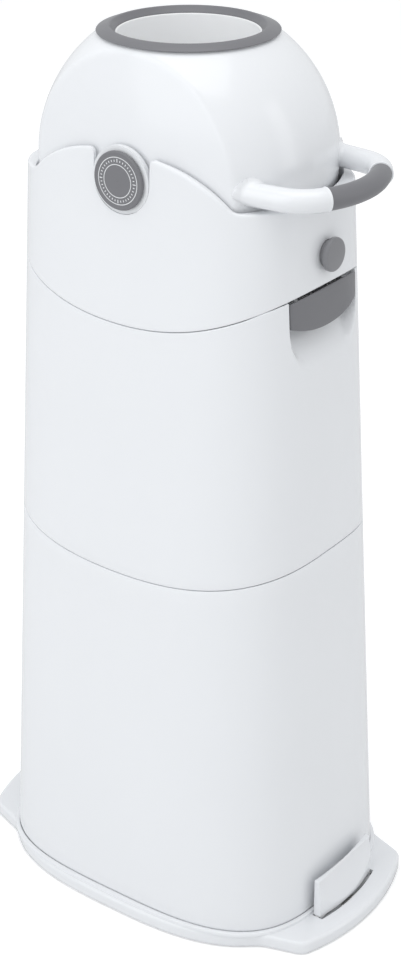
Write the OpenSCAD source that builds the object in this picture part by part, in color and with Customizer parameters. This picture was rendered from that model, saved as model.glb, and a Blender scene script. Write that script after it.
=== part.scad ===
// Nappy bin: a tapered two-part body on a tabbed base plate, a hinged lid, and a drum that flips over in it
// Millimetres, +Z up. The front, with the handle, is towards -Y. The origin is on the floor, at the middle

/* [Heights] */
// Height of the base plate's top above the floor
base_h = 12; // [10:0.5:16]
// Height of the lower body at the middle of its curved top seam
lower_h = 291.4; // [240:1:330]
// Height of the upper body between its two seams, at the middle of its sides
upper_h = 197.6; // [150:1:240]
// Height of the drum's pivot above the middle of the lid's curved seam
pivot_rise = 106.1; // [104:0.5:112]

/* [Drum] */
// Radius of the round drum
drum_r = 108.5; // [104:0.5:116]
// Half width of the drum at its pivots
drum_half = 74; // [72:0.5:80]
// How far the drum's side domes stand out beyond their edge
dome_rise = 8.4; // [6:0.2:11]
// Rounding of the crease round each dome
crease_round = 7; // [5:0.5:9]
// Wall of the drum shells
drum_wall = 3; // [2.4:0.2:3.6]
// Outer radius of the rings at the drum's two mouths
rim_r = 65; // [62:0.5:68]
// Thickness of those rings
rim_h = 6; // [5:0.2:7]
// Inner radius of the chute through the drum
chute_r = 50.5; // [47:0.5:52]
// Wall of the chute
chute_wall = 1.9; // [1.6:0.1:2.4]
// Height of the piston in the chute
piston_h = 72; // [50:1:90]

/* [Body] */
// Gap between the drum's side and the lid's inner wall, at the pivot
cheek_gap = 2; // [1.8:0.1:3]
// Width of the lid's rim in front of and behind the drum
ledge = 9.1; // [8.5:0.1:12]
// Wall of the body and the lid
wall = 3; // [2.6:0.1:3.6]
// How far each side leans in for each millimetre of height
taper_x = 0.0536; // [0.04:0.002:0.06]
// How far the front and the back lean in for each millimetre of height
taper_y = 0.0439; // [0.035:0.002:0.05]
// Squareness of the body's rounded section, where 2 is an ellipse
body_square = 3.3; // [3:0.1:3.6]
// Radius of the curved seam between the two body parts
lower_seam_r = 426; // [380:1:480]
// Radius of the curved seam under the lid
upper_seam_r = 239; // [225:1:260]
// Open gap at the seams
seam_gap = 0.6; // [0.5:0.1:1]

/* [Lid edge] */
// Height of the lid's side crest above the pivot
crest_rise = 19; // [17:0.5:21]
// Half length of the flat of that crest
crest_half = 27; // [25:0.5:32]
// Radius of the shoulder in front of the crest
shoulder_r = 76; // [70:1:82]
// Radius of the hollow where the shoulder meets the level front edge
dip_r = 12; // [8:1:16]

/* [Pivot] */
// Radius of the round pivot caps
cap_r = 23; // [22:0.5:26]
// Thickness of the caps at their middle
cap_h = 3.4; // [3:0.2:4.6]
// Radius of the trunnions
trunnion_r = 16; // [14:0.5:18]
// Running clearance of shafts in their bores
run_gap = 0.05; // [0.03:0.01:0.08]

/* [Handle] */
// Radius of the handle's tube
handle_r = 8.5; // [7.5:0.25:9]
// Reach of the handle's middle line in front of the pivot
handle_reach = 147; // [143:1:153]
// Half distance between the handle's roots
handle_root = 59; // [57:0.5:61]
// Gap between the handle and the lid's front edge
handle_gap = 1.8; // [1.5:0.1:3]

/* [Latch and button] */
// Half width of the latch
latch_half = 41; // [38:0.5:46]
// Height of the latch at its middle
latch_h = 29; // [27:0.5:32]
// How much shorter the latch is at its sides
latch_bow = 8; // [5:0.5:10]
// Radius of the finger scoop under the latch
scoop_r = 26; // [24:0.5:28]
// Radius of the round lock button
button_r = 13.25; // [12:0.25:14]
// Travel of the lock button
button_travel = 2.5; // [2:0.1:3]

/* [Base] */
// How far the base plate stands out beside the body
base_out_x = 5.7; // [4.5:0.1:8]
// How far the base plate stands out in front of the body
base_out_y = 5.6; // [4.5:0.1:8]
// Squareness of the base plate's outline
base_square = 2.86; // [2.7:0.02:3.2]
// How far the two tabs stand out beyond the base plate's oval, in front and behind
tab_out = 27.2; // [24:0.2:32]
// Rounding of the tabs' corners
tab_round = 12; // [9:0.5:14]
// Half width of the clips on the tabs
clip_half = 38.5; // [34:0.5:42]
// Height of the clips' top above the floor
clip_top = 46; // [42:0.5:50]
// Radius of the rubber feet
foot_r = 9; // [7:0.5:10]

/* [Hidden] */

white = "#f2f4f6";
grey = "#808085";
steel = "#b9bcc0";
black = "#2b2c2e";

// Facets of small circles, of large ones, and points of the body's outline
$fn = 48;
fine = 180;
outline_points = 72;
far = 400;

// Heights of the seams and the pivot
lower_seam_z = base_h + lower_h;
upper_seam_z = lower_seam_z + upper_h;
pivot_z = upper_seam_z + pivot_rise;

// Outside half sizes at the pivot's height
lid_hw = drum_half + cheek_gap + wall;
lid_hd = drum_r + ledge;
function hw(z) = lid_hw + taper_x * (pivot_z - z);
function hd(z) = lid_hd + taper_y * (pivot_z - z);

// Loose clearance between fixed pieces, and between pieces that pass each other
fit = 0.2;
pass = 0.5;

// Points of a rounded oblong of half sizes a and b
function rounded_power(v, square) = sign(v) * pow(abs(v), 2 / square);
function outline(a, b, square) =
    [for (i = [0:outline_points - 1])
        let (t = 360 * i / outline_points)
        [a * rounded_power(cos(t), square), b * rounded_power(sin(t), square)]];

// Height of a seam's arc at a distance y from the middle
function arc_z(low, r, y) = low + r - sqrt(r * r - y * y);

// Lengthways outlines are drawn in Y and Z and drawn out along X
module along_x(half) {
    rotate([90, 0, 90])
        linear_extrude(height = 2 * half, center = true)
            children();
}

module rod_x(r, x0, x1, y, z) {
    translate([x0, y, z])
        rotate([0, 90, 0])
            cylinder(r = r, h = x1 - x0);
}

module box(x0, x1, y0, y1, z0, z1) {
    translate([x0, y0, z0])
        cube([x1 - x0, y1 - y0, z1 - z0]);
}

// The tapered form of the whole body between two heights, drawn in by an inset
module form(z0, z1, inset = 0) {
    a0 = hw(z0) - inset;
    b0 = hd(z0) - inset;
    translate([0, 0, z0])
        linear_extrude(height = z1 - z0, scale = [(hw(z1) - inset) / a0, (hd(z1) - inset) / b0], slices = 1)
            polygon(outline(a0, b0, body_square));
}

module form_shell(z0, z1, inset, thick) {
    difference() {
        form(z0, z1, inset);
        form(z0 - 1, z1 + 1, inset + thick);
    }
}

// Everything above a curved seam, grown or shrunk by an amount
module above_seam(low, r, grow) {
    along_x(far)
        translate([0, low + r])
            circle(r = r + grow, $fn = 2 * fine);
}

// A wire coil round the Z axis, from z = 0 upwards
coil_sides = 6;
coil_steps = 14;
function coil_ring(r, wire, pitch, i) =
    let (a = 360 * i / coil_steps, z = pitch * i / coil_steps)
    [for (k = [0:coil_sides - 1])
        let (b = 360 * k / coil_sides, q = r + wire * cos(b))
        [q * cos(a), q * sin(a), z + wire + wire * sin(b)]];

module coil(r, wire, pitch, turns) {
    rings = floor(turns * coil_steps);
    points = [for (i = [0:rings]) each coil_ring(r, wire, pitch, i)];
    sides = [for (i = [0:rings - 1], k = [0:coil_sides - 1])
        let (a = i * coil_sides + k, b = i * coil_sides + (k + 1) % coil_sides)
        [a, b, b + coil_sides, a + coil_sides]];
    first = [for (k = [0:coil_sides - 1]) coil_sides - 1 - k];
    last = [for (k = [0:coil_sides - 1]) rings * coil_sides + k];
    polyhedron(points, concat([first, last], sides), convexity = 4);
}

// Drum form: a ball whose two sides are cut by shallow domes, with the crease rounded
crease_half = drum_half - dome_rise;
crease_r = sqrt(drum_r * drum_r - crease_half * crease_half);
dome_r = (crease_r * crease_r + dome_rise * dome_rise) / (2 * dome_rise);
dome_x = drum_half - dome_r;
round_x = (dome_x * dome_x - pow(dome_r - crease_round, 2) + pow(drum_r - crease_round, 2)) / (2 * dome_x);
round_c = [sqrt(pow(drum_r - crease_round, 2) - round_x * round_x), round_x];

ball_end = atan2(round_c[1], round_c[0]);
dome_start = atan2(round_c[1] - dome_x, round_c[0]);

// Points of an arc, leaving out its first one
function arc_points(c, r, from, to, count) =
    [for (i = [1:count])
        let (a = from + (to - from) * i / count)
        c + r * [cos(a), sin(a)]];

// Half outline of the drum, to be turned about its pivot axis: ball, crease and dome
function drum_half_outline(inset) = [
    each arc_points([0, 0], drum_r - inset, 0, ball_end, 10),
    each arc_points(round_c, crease_round - inset, ball_end, dome_start, 5),
    each arc_points([0, dome_x], dome_r - inset, dome_start, 90, 5)];

module drum_profile(inset) {
    half = drum_half_outline(inset);
    last = len(half) - 1;
    polygon([
        for (i = [last:-1:0]) [half[i][0], -half[i][1]],
        [drum_r - inset, 0],
        each half]);
}

// Places in the drum, measured from the pivot
flat_z = sqrt(drum_r * drum_r - rim_r * rim_r);
mouth_z = flat_z + rim_h;
chute_out = chute_r + chute_wall;
lip_h = 2.4;
lip_r = chute_r - 1.7;
lip_z = mouth_z - 0.6;
bevel_w = 4.5;
bevel_drop = 0.7;
sweep_r = norm([rim_r - bevel_w, mouth_z - bevel_drop]);

// The drum turns in this space: a ball with coned sides that follow the drum's domes
drum_gap = 1.2;
side_flat = 40;
module drum_space() {
    side = drum_half + cheek_gap - pass;
    reach = drum_r + 12;
    edge = side - (side - crease_half - drum_gap - pass) * (reach - side_flat) / (crease_r - side_flat);
    translate([0, 0, pivot_z])
        intersection() {
            sphere(r = sweep_r + drum_gap, $fn = fine);
            rotate([0, 90, 0])
                rotate_extrude($fn = fine)
                    polygon([[0, -side], [side_flat, -side], [reach, -edge],
                             [reach, edge], [side_flat, side], [0, side]]);
        }
}

// Handle path in plan: a straight arm, a corner and a wide front arc, each running on from the last.
// A turn is measured from straight ahead, which is -Y, inwards.
arm_turn = 7;
front_turn = 67;
corner_r = 24;
root_y = sqrt(drum_r * drum_r - handle_root * handle_root) - 4;
corner_dx = corner_r * (cos(arm_turn) - cos(front_turn));
corner_dy = corner_r * (sin(front_turn) - sin(arm_turn));
bow_rise = tan((90 - front_turn) / 2);
arm_l = (handle_reach - root_y - corner_dy - (handle_root - corner_dx) * bow_rise)
    / (cos(arm_turn) - sin(arm_turn) * bow_rise);
corner_x = handle_root - arm_l * sin(arm_turn);
corner_y = root_y + arm_l * cos(arm_turn);
front_x = corner_x - corner_dx;
front_r = front_x / cos(front_turn);
core_r = 5;
grip_bore = core_r + 0.1;
collar_w = 1.6;
foot_turn = -33;
foot_bend = 20;

// Stations along the right half of the handle: [x, y, turn, radius]. Its foot turns inwards in the drum
function foot_at_turn(turn, r) =
    [handle_root - foot_bend * (cos(arm_turn) - cos(turn)),
     -root_y + foot_bend * (sin(arm_turn) - sin(turn)), turn, r];
function arm_at(s, r) = [handle_root - s * sin(arm_turn), -root_y - s * cos(arm_turn), arm_turn, r];
function corner_at(turn, r) =
    [corner_x - corner_r * (cos(arm_turn) - cos(turn)),
     -corner_y - corner_r * (sin(turn) - sin(arm_turn)), turn, r];
function front_at(turn, r) = [front_r * cos(turn), -handle_reach + front_r * (1 - sin(turn)), turn, r];
collar_turn = front_turn + collar_w / front_r * 180 / PI;
foot_steps = 4;
function foot_path(r) =
    [for (i = [0:foot_steps]) foot_at_turn(foot_turn + (arm_turn - foot_turn) * i / foot_steps, r)];
half_path = [
    each foot_path(handle_r),
    for (i = [0:8]) corner_at(arm_turn + (front_turn - arm_turn) * i / 8, handle_r),
    corner_at(front_turn, handle_r + 0.6),
    front_at(collar_turn, handle_r + 0.6),
    for (i = [0:7]) front_at(collar_turn + (90 - collar_turn) * i / 8, core_r)];
half_count = len(half_path);
handle_path = [
    each half_path,
    front_at(90, core_r),
    for (i = [half_count - 1:-1:0])
        let (p = half_path[i])
        [-p[0], p[1], 180 - p[2], p[3]]];

// A round tube through a list of stations
module sweep(path, sides) {
    count = len(path);
    points = [for (p = path, k = [0:sides - 1])
        let (b = 360 * k / sides)
        [p[0] + p[3] * cos(b) * cos(p[2]), p[1] - p[3] * cos(b) * sin(p[2]), p[3] * sin(b)]];
    walls = [for (i = [0:count - 2], k = [0:sides - 1])
        let (a = i * sides + k, b = i * sides + (k + 1) % sides)
        [a, a + sides, b + sides, b]];
    first = [for (k = [0:sides - 1]) k];
    last = [for (k = [0:sides - 1]) count * sides - 1 - k];
    polyhedron(points, concat([first, last], walls), convexity = 6);
}

// Lid edge, seen from the side
rim_z = pivot_z - handle_r - handle_gap;
crest_z = pivot_z + crest_rise;
shoulder_c = [crest_half, crest_z - shoulder_r];
dip_z = rim_z + dip_r;
dip_lap = 0.01;
dip_c = [crest_half + sqrt(pow(shoulder_r + dip_r - dip_lap, 2) - pow(dip_z - shoulder_c[1], 2)), dip_z];

module lid_profile(drop) {
    meet = shoulder_c + (dip_c - shoulder_c) * (shoulder_r - drop) / (shoulder_r + dip_r);
    translate([-far, rim_z - drop - far])
        square([2 * far, far]);
    translate([-crest_half, rim_z - far])
        square([2 * crest_half, far + crest_z - rim_z - drop]);
    for (side = [0, 1])
        mirror([side, 0]) {
            translate(shoulder_c)
                circle(r = shoulder_r - drop, $fn = fine);
            difference() {
                polygon([[meet[0], rim_z - drop - 1], [dip_c[0], rim_z - drop - 1], dip_c, meet]);
                translate(dip_c)
                    circle(r = dip_r + drop, $fn = fine);
            }
        }
}

// Rear hinge of the lid
hinge_out = 2.3;
hinge_y = hd(arc_z(upper_seam_z, upper_seam_r, lid_hd)) + hinge_out;
hinge_z = arc_z(upper_seam_z, upper_seam_r, hinge_y);
knuckle_r = 5.4;
hinge_pin_r = 2.5;
knuckle_split = 10;
knuckle_end = 24;

// One knuckle with its web up or down the outside of the wall, without its bore
module knuckle(x0, x1, up) {
    rod_x(knuckle_r, x0, x1, hinge_y, hinge_z);
    translate([(x0 + x1) / 2, hinge_y, hinge_z])
        along_x((x1 - x0) / 2)
            polygon([[-hinge_out - wall / 2, 0], [knuckle_r - 0.6, 0],
                     [-hinge_out - wall / 2 + 0.5, up * 15]]);
}

// Latch: a panel in the front wall, on a pin behind it
latch_top = arc_z(upper_seam_z, upper_seam_r, hd(upper_seam_z)) - 2.8;
latch_bottom = latch_top - latch_h;
latch_thick = 3.4;
latch_pin_r = 1.5;
latch_hub_r = 3;
latch_pin_z = latch_top - 5;
latch_pin_y = -hd(latch_pin_z) + latch_thick + latch_hub_r + 2.2;
latch_ear = [23.5, 27.5];
latch_lug = [28, 32];
hook_half = 8;
hook_top = latch_top + 7.6;
strike_y = latch_pin_y - 1;
strike_z = [latch_top + 2.6, latch_top + 4.6];
scoop_z = latch_top - 19;
scoop_y = -hd(scoop_z) - 8;
scoop_half = latch_half + 1;

// Lock button in the lid's front wall
flange_z = pivot_z - 51;
button_z = flange_z;
button_y = -hd(button_z);
button_back = button_y + wall + 1.1;
retainer_y = button_back + 1.5 + button_travel + 2.7;
retainer_t = 1.8;
button_bay = button_r + 3.5;

// Cradle under the drum
cradle_r = sweep_r + 2;
cradle_wall = 2.5;
cradle_hole = rim_r + 7;
flange_t = 3;
seat_inset = wall + fit;
cradle_screw = [hw(flange_z) - 19.7, hd(flange_z) - 27.3];
cradle_boss_r = 3.6;

// Base plate
base_skirt = 1;
plate_t = 3;
base_hw = hw(base_h) + base_out_x;
base_hd = hd(base_h) + base_out_y;
tab_reach = base_hd + tab_out;
tab_tilt = 17.8;
tab_root = [base_hw - 33.6, base_hd - 22];
tab_turn = asin((tab_root[0] * cos(tab_tilt) + tab_root[1] * sin(tab_tilt) - tab_round)
    / (tab_reach - tab_round)) - tab_tilt;
foot_at = [base_hw - 40, base_hd - 48];
foot_h = 5;

// Clips on the tabs
clip_out_r = base_hd + 9.6;
clip_in_y = hd(base_h) + 6.3;
clip_in_r = 248;
clip_pin_r = 1.5;
clip_barrel_r = 3;
clip_pin_y = clip_in_y + 3.4;
clip_pin_z = 5.5;
clip_bay = 8;
clip_slot = 1.8;
tooth_half = 12;
tooth_z = [28, 33];

module tab_outline(inset) {
    corner = (tab_reach - tab_round) * [sin(tab_turn), -cos(tab_turn)];
    side_n = [cos(tab_tilt), -sin(tab_tilt)];
    edge = corner + (tab_round - inset) * side_n;
    root = [tab_root[0], -tab_root[1]] - inset * side_n;
    for (side = [0, 1])
        mirror([side, 0]) {
            translate(corner)
                circle(r = tab_round - inset);
            polygon([[0, 0], root, edge, corner, [0, corner[1]]]);
        }
    intersection() {
        circle(r = tab_reach - inset, $fn = 2 * fine);
        polygon([[0, 0], 3 * corner, [-3 * corner[0], 3 * corner[1]]]);
    }
}

module base_outline(inset) {
    polygon(outline(base_hw - inset, base_hd - inset, base_square));
    for (side = [0, 1])
        mirror([0, side])
            tab_outline(inset);
}

// The clip's side view: a steep inner face and a hollow outer slope
slope_r = 90;
module clip_section() {
    top = [-(clip_in_y + 1.8), clip_top];
    foot = [-clip_out_r - 0.5, base_h + 1.5];
    middle = (top + foot) / 2;
    run = foot - top;
    half = norm(run) / 2;
    slope_c = middle + sqrt(slope_r * slope_r - half * half) * [run[1], -run[0]] / norm(run);
    difference() {
        polygon([[-clip_in_y + 12, base_h - 1], [-clip_in_y + 12, clip_top], top,
                 [-clip_out_r - 6, clip_top], [-clip_out_r - 6, base_h - 1]]);
        translate(slope_c)
            circle(r = slope_r, $fn = 2 * fine);
        translate([-clip_out_r - 20, base_h + 1.5])
            square([20 - 0.5, 60]);
    }
}

module clip_inner(grow) {
    translate([0, clip_in_r - clip_in_y, -1])
        cylinder(r = clip_in_r + grow, h = 2 * clip_top, $fn = 2 * fine);
}

module clip() {
    difference() {
        union() {
            difference() {
                intersection() {
                    along_x(clip_half)
                        clip_section();
                    cylinder(r = clip_out_r, h = 2 * clip_top, $fn = 2 * fine);
                }
                clip_inner(0);
            }
            difference() {
                intersection() {
                    box(-clip_half, clip_half, -clip_pin_y - clip_barrel_r, -clip_pin_y + clip_barrel_r,
                        clip_pin_z, base_h + 1);
                    cylinder(r = clip_out_r, h = 2 * clip_top, $fn = 2 * fine);
                }
                clip_inner(-2);
            }
            rod_x(clip_barrel_r, -clip_half, clip_half, -clip_pin_y, clip_pin_z);
            along_x(tooth_half)
                polygon([[-clip_in_y - 2, tooth_z[0]], [-hd(tooth_z[0]) + 1.6, tooth_z[0]],
                         [-hd(tooth_z[0]) + 1.6, tooth_z[0] + 1.5], [-clip_in_y - 2, tooth_z[1]]]);
        }
        box(-clip_bay, clip_bay, -clip_pin_y - 6, -clip_pin_y + 8, 0, base_h - plate_t);
        rod_x(clip_pin_r + run_gap, -far, far, -clip_pin_y, clip_pin_z);
    }
}

module base_plate() {
    rib_t = 2;
    rib_gap = 40;
    lug = [clip_half + 0.8, clip_half + 5];
    color(white)
        difference() {
            union() {
                translate([0, 0, base_h - plate_t])
                    linear_extrude(height = plate_t)
                        base_outline(0);
                translate([0, 0, base_skirt])
                    linear_extrude(height = base_h - base_skirt)
                        difference() {
                            base_outline(0);
                            base_outline(plate_t);
                        }
                translate([0, 0, base_skirt + 1])
                    linear_extrude(height = base_h - base_skirt - plate_t)
                        intersection() {
                            polygon(outline(base_hw - 2, base_hd - 12, base_square));
                            for (k = [-3:3]) {
                                translate([k * rib_gap - rib_t / 2, -far])
                                    square([rib_t, 2 * far]);
                                translate([-far, k * rib_gap - rib_t / 2])
                                    square([2 * far, rib_t]);
                            }
                        }
                for (x = [-1, 1], y = [-1, 1])
                    translate([x * foot_at[0], y * foot_at[1], base_skirt + 1])
                        cylinder(r = foot_r + 2.5, h = base_h - base_skirt - plate_t);
                for (side = [-1, 1], x = [-1, 1])
                    box(min(x * lug[0], x * lug[1]), max(x * lug[0], x * lug[1]), side * clip_pin_y - 4,
                        side * clip_pin_y + 4, clip_pin_z - 3.5, base_h - 1);
                translate([0, 0, base_h - 1])
                    linear_extrude(height = 3.6)
                        difference() {
                            polygon(outline(hw(base_h) + 2.8, hd(base_h) + 2.8, body_square));
                            polygon(outline(hw(base_h) + 0.4, hd(base_h) + 0.4, body_square));
                        }
                translate([0, 0, base_h - 1])
                    linear_extrude(height = 11)
                        difference() {
                            polygon(outline(hw(base_h) - wall - 1, hd(base_h) - wall - 1, body_square));
                            polygon(outline(hw(base_h) - wall - 3.2, hd(base_h) - wall - 3.2, body_square));
                        }
            }
            for (x = [-1, 1], y = [-1, 1])
                translate([x * foot_at[0], y * foot_at[1], -1])
                    cylinder(r = foot_r + fit / 2, h = foot_h + 1);
            for (side = [0, 1])
                mirror([0, side, 0]) {
                    difference() {
                        intersection() {
                            box(-clip_half - 0.7, clip_half + 0.7, -far, 0, 0.5, 3 * base_h);
                            translate([0, 0, -1])
                                cylinder(r = clip_out_r + clip_slot, h = 3 * base_h, $fn = 2 * fine);
                        }
                        clip_inner(-pass);
                    }
                    box(-clip_half - 0.7, clip_half + 0.7, -clip_pin_y - 5, -clip_pin_y + 5,
                        0, base_h - plate_t);
                    rod_x(clip_pin_r + run_gap, -far, far, -clip_pin_y, clip_pin_z);
                }
        }
}

module rubber_feet() {
    color(black)
        for (x = [-1, 1], y = [-1, 1])
            translate([x * foot_at[0], y * foot_at[1], 0])
                cylinder(r = foot_r, h = foot_h);
}

module clip_front() {
    color(white)
        clip();
}

module clip_rear() {
    color(white)
        mirror([0, 1, 0])
            clip();
}

module clip_pins() {
    color(steel)
        for (side = [-1, 1])
            rod_x(clip_pin_r, -clip_half - 4.5, clip_half + 4.5, side * clip_pin_y, clip_pin_z);
}

module clip_springs() {
    wire = 0.4;
    color(steel)
        for (side = [-1, 1])
            translate([-clip_bay + 1, side * clip_pin_y, clip_pin_z])
                rotate([0, 90, 0])
                    coil(clip_pin_r + wire + 0.3, wire, 2.6, 5);
}

module lower_body() {
    color(white)
        difference() {
            form_shell(base_h, lower_seam_z + 45, 0, wall);
            above_seam(lower_seam_z, lower_seam_r, seam_gap / 2);
            for (side = [-1, 1])
                translate([0, side * hd(tooth_z[0]), (tooth_z[0] + tooth_z[1]) / 2])
                    cube([2 * tooth_half + 3, 4 * wall, tooth_z[1] - tooth_z[0] + 3], center = true);
        }
}

module scoop_form(r, half) {
    rod_x(r, -half, half, scoop_y, scoop_z, $fn = fine);
}

// Outside of the upper body, from an amount below its lower seam to an amount above the lid's
module upper_span(inset, down, up) {
    difference() {
        intersection() {
            form(lower_seam_z - 20, upper_seam_z + 60, inset);
            above_seam(lower_seam_z, lower_seam_r, down);
        }
        above_seam(upper_seam_z, upper_seam_r, -up);
    }
}

module upper_body() {
    lap = 8;
    lip = 5;
    lip_stop = 36;
    step = 0.8;
    rim_t = 2.2;
    color(white)
        difference() {
            union() {
                difference() {
                    union() {
                        upper_span(0, -seam_gap / 2, -seam_gap / 2);
                        difference() {
                            upper_span(wall + step, lap, lip);
                            intersection() {
                                box(-far, far, hinge_y - lip_stop, far, upper_seam_z, pivot_z);
                                above_seam(upper_seam_z, upper_seam_r, seam_gap / 2);
                            }
                        }
                    }
                    form(lower_seam_z - 21, upper_seam_z + 61, wall + step + rim_t);
                    upper_span(wall, -4, -4);
                }
                difference() {
                    scoop_form(scoop_r + 2.6, scoop_half + 2.6);
                    box(-far, far, -far, -hd(scoop_z) + wall / 2, 0, pivot_z);
                    above_seam(upper_seam_z, upper_seam_r, seam_gap / 2);
                }
                knuckle(-knuckle_end, -knuckle_split, -1);
                knuckle(knuckle_split, knuckle_end, -1);
            }
            difference() {
                union() {
                    scoop_form(scoop_r, scoop_half);
                    box(-scoop_half, scoop_half, -far, scoop_y + scoop_r * 0.66, latch_top - 6, pivot_z);
                }
                latch_lugs();
            }
            box(-hook_half - 1, hook_half + 1, -far, latch_pin_y + 6.5, latch_pin_z - 4, pivot_z);
            rod_x(knuckle_r + pass, -knuckle_split, knuckle_split, hinge_y, hinge_z);
            rod_x(hinge_pin_r, -far, far, hinge_y, hinge_z);
            rod_x(latch_pin_r + run_gap, -latch_lug[1] - 5, latch_lug[1] + 5, latch_pin_y, latch_pin_z);
        }
}

// Two lugs that carry the latch's pin, inside the scoop
module latch_lugs() {
    for (side = [-1, 1]) {
        x0 = min(side * latch_lug[0], side * latch_lug[1]);
        x1 = max(side * latch_lug[0], side * latch_lug[1]);
        rod_x(latch_hub_r - 0.2, x0, x1, latch_pin_y, latch_pin_z);
        box(x0, x1, latch_pin_y, scoop_y + scoop_r + 1, latch_pin_z - 3, latch_pin_z + 3);
    }
}

module latch() {
    bow_r = (latch_half * latch_half + latch_bow * latch_bow) / (2 * latch_bow);
    hook_h = hook_top - latch_pin_z;
    barb_h = strike_z[1] - latch_pin_z + pass;
    color(grey)
        difference() {
            union() {
                difference() {
                    intersection() {
                        form_shell(latch_bottom - 5, latch_top, -0.4, latch_thick + 0.4);
                        box(-latch_half, latch_half, -far, 0, latch_bottom - 5, latch_top);
                        translate([0, 0, latch_bottom + bow_r])
                            rotate([90, 0, 0])
                                cylinder(r = bow_r, h = far, $fn = 2 * fine);
                    }
                    above_seam(upper_seam_z, upper_seam_r, 1.6);
                }
                for (side = [-1, 1])
                    latch_arm(min(side * latch_ear[0], side * latch_ear[1]),
                              max(side * latch_ear[0], side * latch_ear[1]));
                latch_arm(-hook_half, hook_half);
                translate([0, latch_pin_y, latch_pin_z])
                    along_x(hook_half)
                        polygon([[-1, 0], [3, 0], [3, hook_h - 1.5], [1.5, hook_h], [-0.4, hook_h - 2],
                                 [-0.4, barb_h], [0.6, barb_h], [0.6, barb_h - 5.5]]);
            }
            rod_x(latch_pin_r + run_gap, -far, far, latch_pin_y, latch_pin_z);
        }
}

// A hub on the latch's pin, joined to the panel's inner face
module latch_arm(x0, x1) {
    rod_x(latch_hub_r, x0, x1, latch_pin_y, latch_pin_z);
    box(x0, x1, -hd(latch_pin_z) + 1.5, latch_pin_y, latch_pin_z - latch_hub_r, latch_pin_z + 2);
}

module latch_pin() {
    color(steel)
        rod_x(latch_pin_r, -latch_lug[1] - 1, latch_lug[1] + 1, latch_pin_y, latch_pin_z);
}

module latch_springs() {
    wire = 0.45;
    color(steel)
        for (x = [-21, 11])
            translate([x, latch_pin_y, latch_pin_z])
                rotate([0, 90, 0])
                    coil(latch_pin_r + wire + 0.2, wire, 1.8, 5);
}

module hinge_pin() {
    color(steel)
        rod_x(hinge_pin_r, -knuckle_end - 0.5, knuckle_end + 0.5, hinge_y, hinge_z);
}

module lid_shell() {
    bush_slot = cap_r + 1.5;
    color(white)
        difference() {
            union() {
                difference() {
                    intersection() {
                        form(upper_seam_z - 5, crest_z + 5);
                        along_x(far)
                            lid_profile(0);
                        above_seam(upper_seam_z, upper_seam_r, -seam_gap / 2);
                    }
                    intersection() {
                        form(upper_seam_z - 6, crest_z + 6, wall);
                        along_x(far)
                            lid_profile(wall);
                    }
                }
                intersection() {
                    form(flange_z, rim_z, wall / 2);
                    for (x = [-1, 1], y = [-1, 1])
                        translate([x * cradle_screw[0], y * cradle_screw[1], flange_z])
                            cylinder(r = cradle_boss_r, h = 18);
                }
                intersection() {
                    form(strike_z[0], strike_z[1], wall / 2);
                    box(-hook_half - 1, hook_half + 1, -far, strike_y, strike_z[0], strike_z[1]);
                }
                knuckle(-knuckle_split + fit, knuckle_split - fit, 1);
            }
            drum_space();
            for (side = [0, 1])
                mirror([side, 0, 0]) {
                    rod_x(bush_slot, lid_hw - 12, lid_hw + 12, 0, pivot_z);
                    box(lid_hw - 12, lid_hw + 12, -bush_slot, bush_slot, pivot_z, pivot_z + 40);
                    rod_x(knuckle_r + pass, knuckle_split, knuckle_end + 1, hinge_y, hinge_z);
                }
            translate([0, button_y + 10, button_z])
                rotate([90, 0, 0])
                    cylinder(r = button_r + 0.35, h = 30);
            rod_x(hinge_pin_r + run_gap, -far, far, hinge_y, hinge_z);
            for (x = [-1, 1], y = [-1, 1])
                translate([x * cradle_screw[0], y * cradle_screw[1], flange_z - 1])
                    cylinder(r = 1.3 + run_gap, h = 14);
        }
}

module drum_cradle() {
    side = hw(flange_z) - seat_inset;
    color(white)
        difference() {
            union() {
                intersection() {
                    translate([0, 0, pivot_z])
                        sphere(r = cradle_r + cradle_wall, $fn = fine);
                    linear_extrude(height = flange_z)
                        polygon(outline(side, hd(flange_z) - seat_inset, body_square));
                }
                translate([0, 0, flange_z - flange_t])
                    linear_extrude(height = flange_t)
                        polygon(outline(side, hd(flange_z) - seat_inset, body_square));
            }
            translate([0, 0, pivot_z])
                sphere(r = cradle_r, $fn = fine);
            cylinder(r = cradle_hole, h = pivot_z, $fn = fine);
            box(-button_bay, button_bay, -far, -cradle_r + 12, flange_z - 16, pivot_z);
            for (x = [-1, 1], y = [-1, 1])
                translate([x * cradle_screw[0], y * cradle_screw[1], 0])
                    cylinder(r = 1.7, h = pivot_z);
        }
}

module cradle_screws() {
    color(steel)
        for (x = [-1, 1], y = [-1, 1])
            translate([x * cradle_screw[0], y * cradle_screw[1], flange_z - flange_t - 2])
                difference() {
                    union() {
                        cylinder(r = 2.5, h = 2);
                        cylinder(r = 1.3, h = 14);
                    }
                    translate([-0.4, -2, -1])
                        cube([0.8, 4, 2]);
                }
}

// A rubber lip round the cradle's hole, hooked over its edge
module drum_seal() {
    color(black)
        translate([0, 0, pivot_z])
            rotate_extrude($fn = fine)
                intersection() {
                    difference() {
                        circle(r = cradle_r + cradle_wall + 1.5, $fn = 2 * fine);
                        circle(r = sweep_r + 1, $fn = 2 * fine);
                    }
                    difference() {
                        translate([cradle_hole - 5, -far])
                            square([10, far]);
                        difference() {
                            translate([cradle_hole, -far])
                                square([10, far]);
                            difference() {
                                circle(r = far);
                                circle(r = cradle_r + cradle_wall, $fn = 2 * fine);
                            }
                        }
                    }
                }
}

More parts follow.
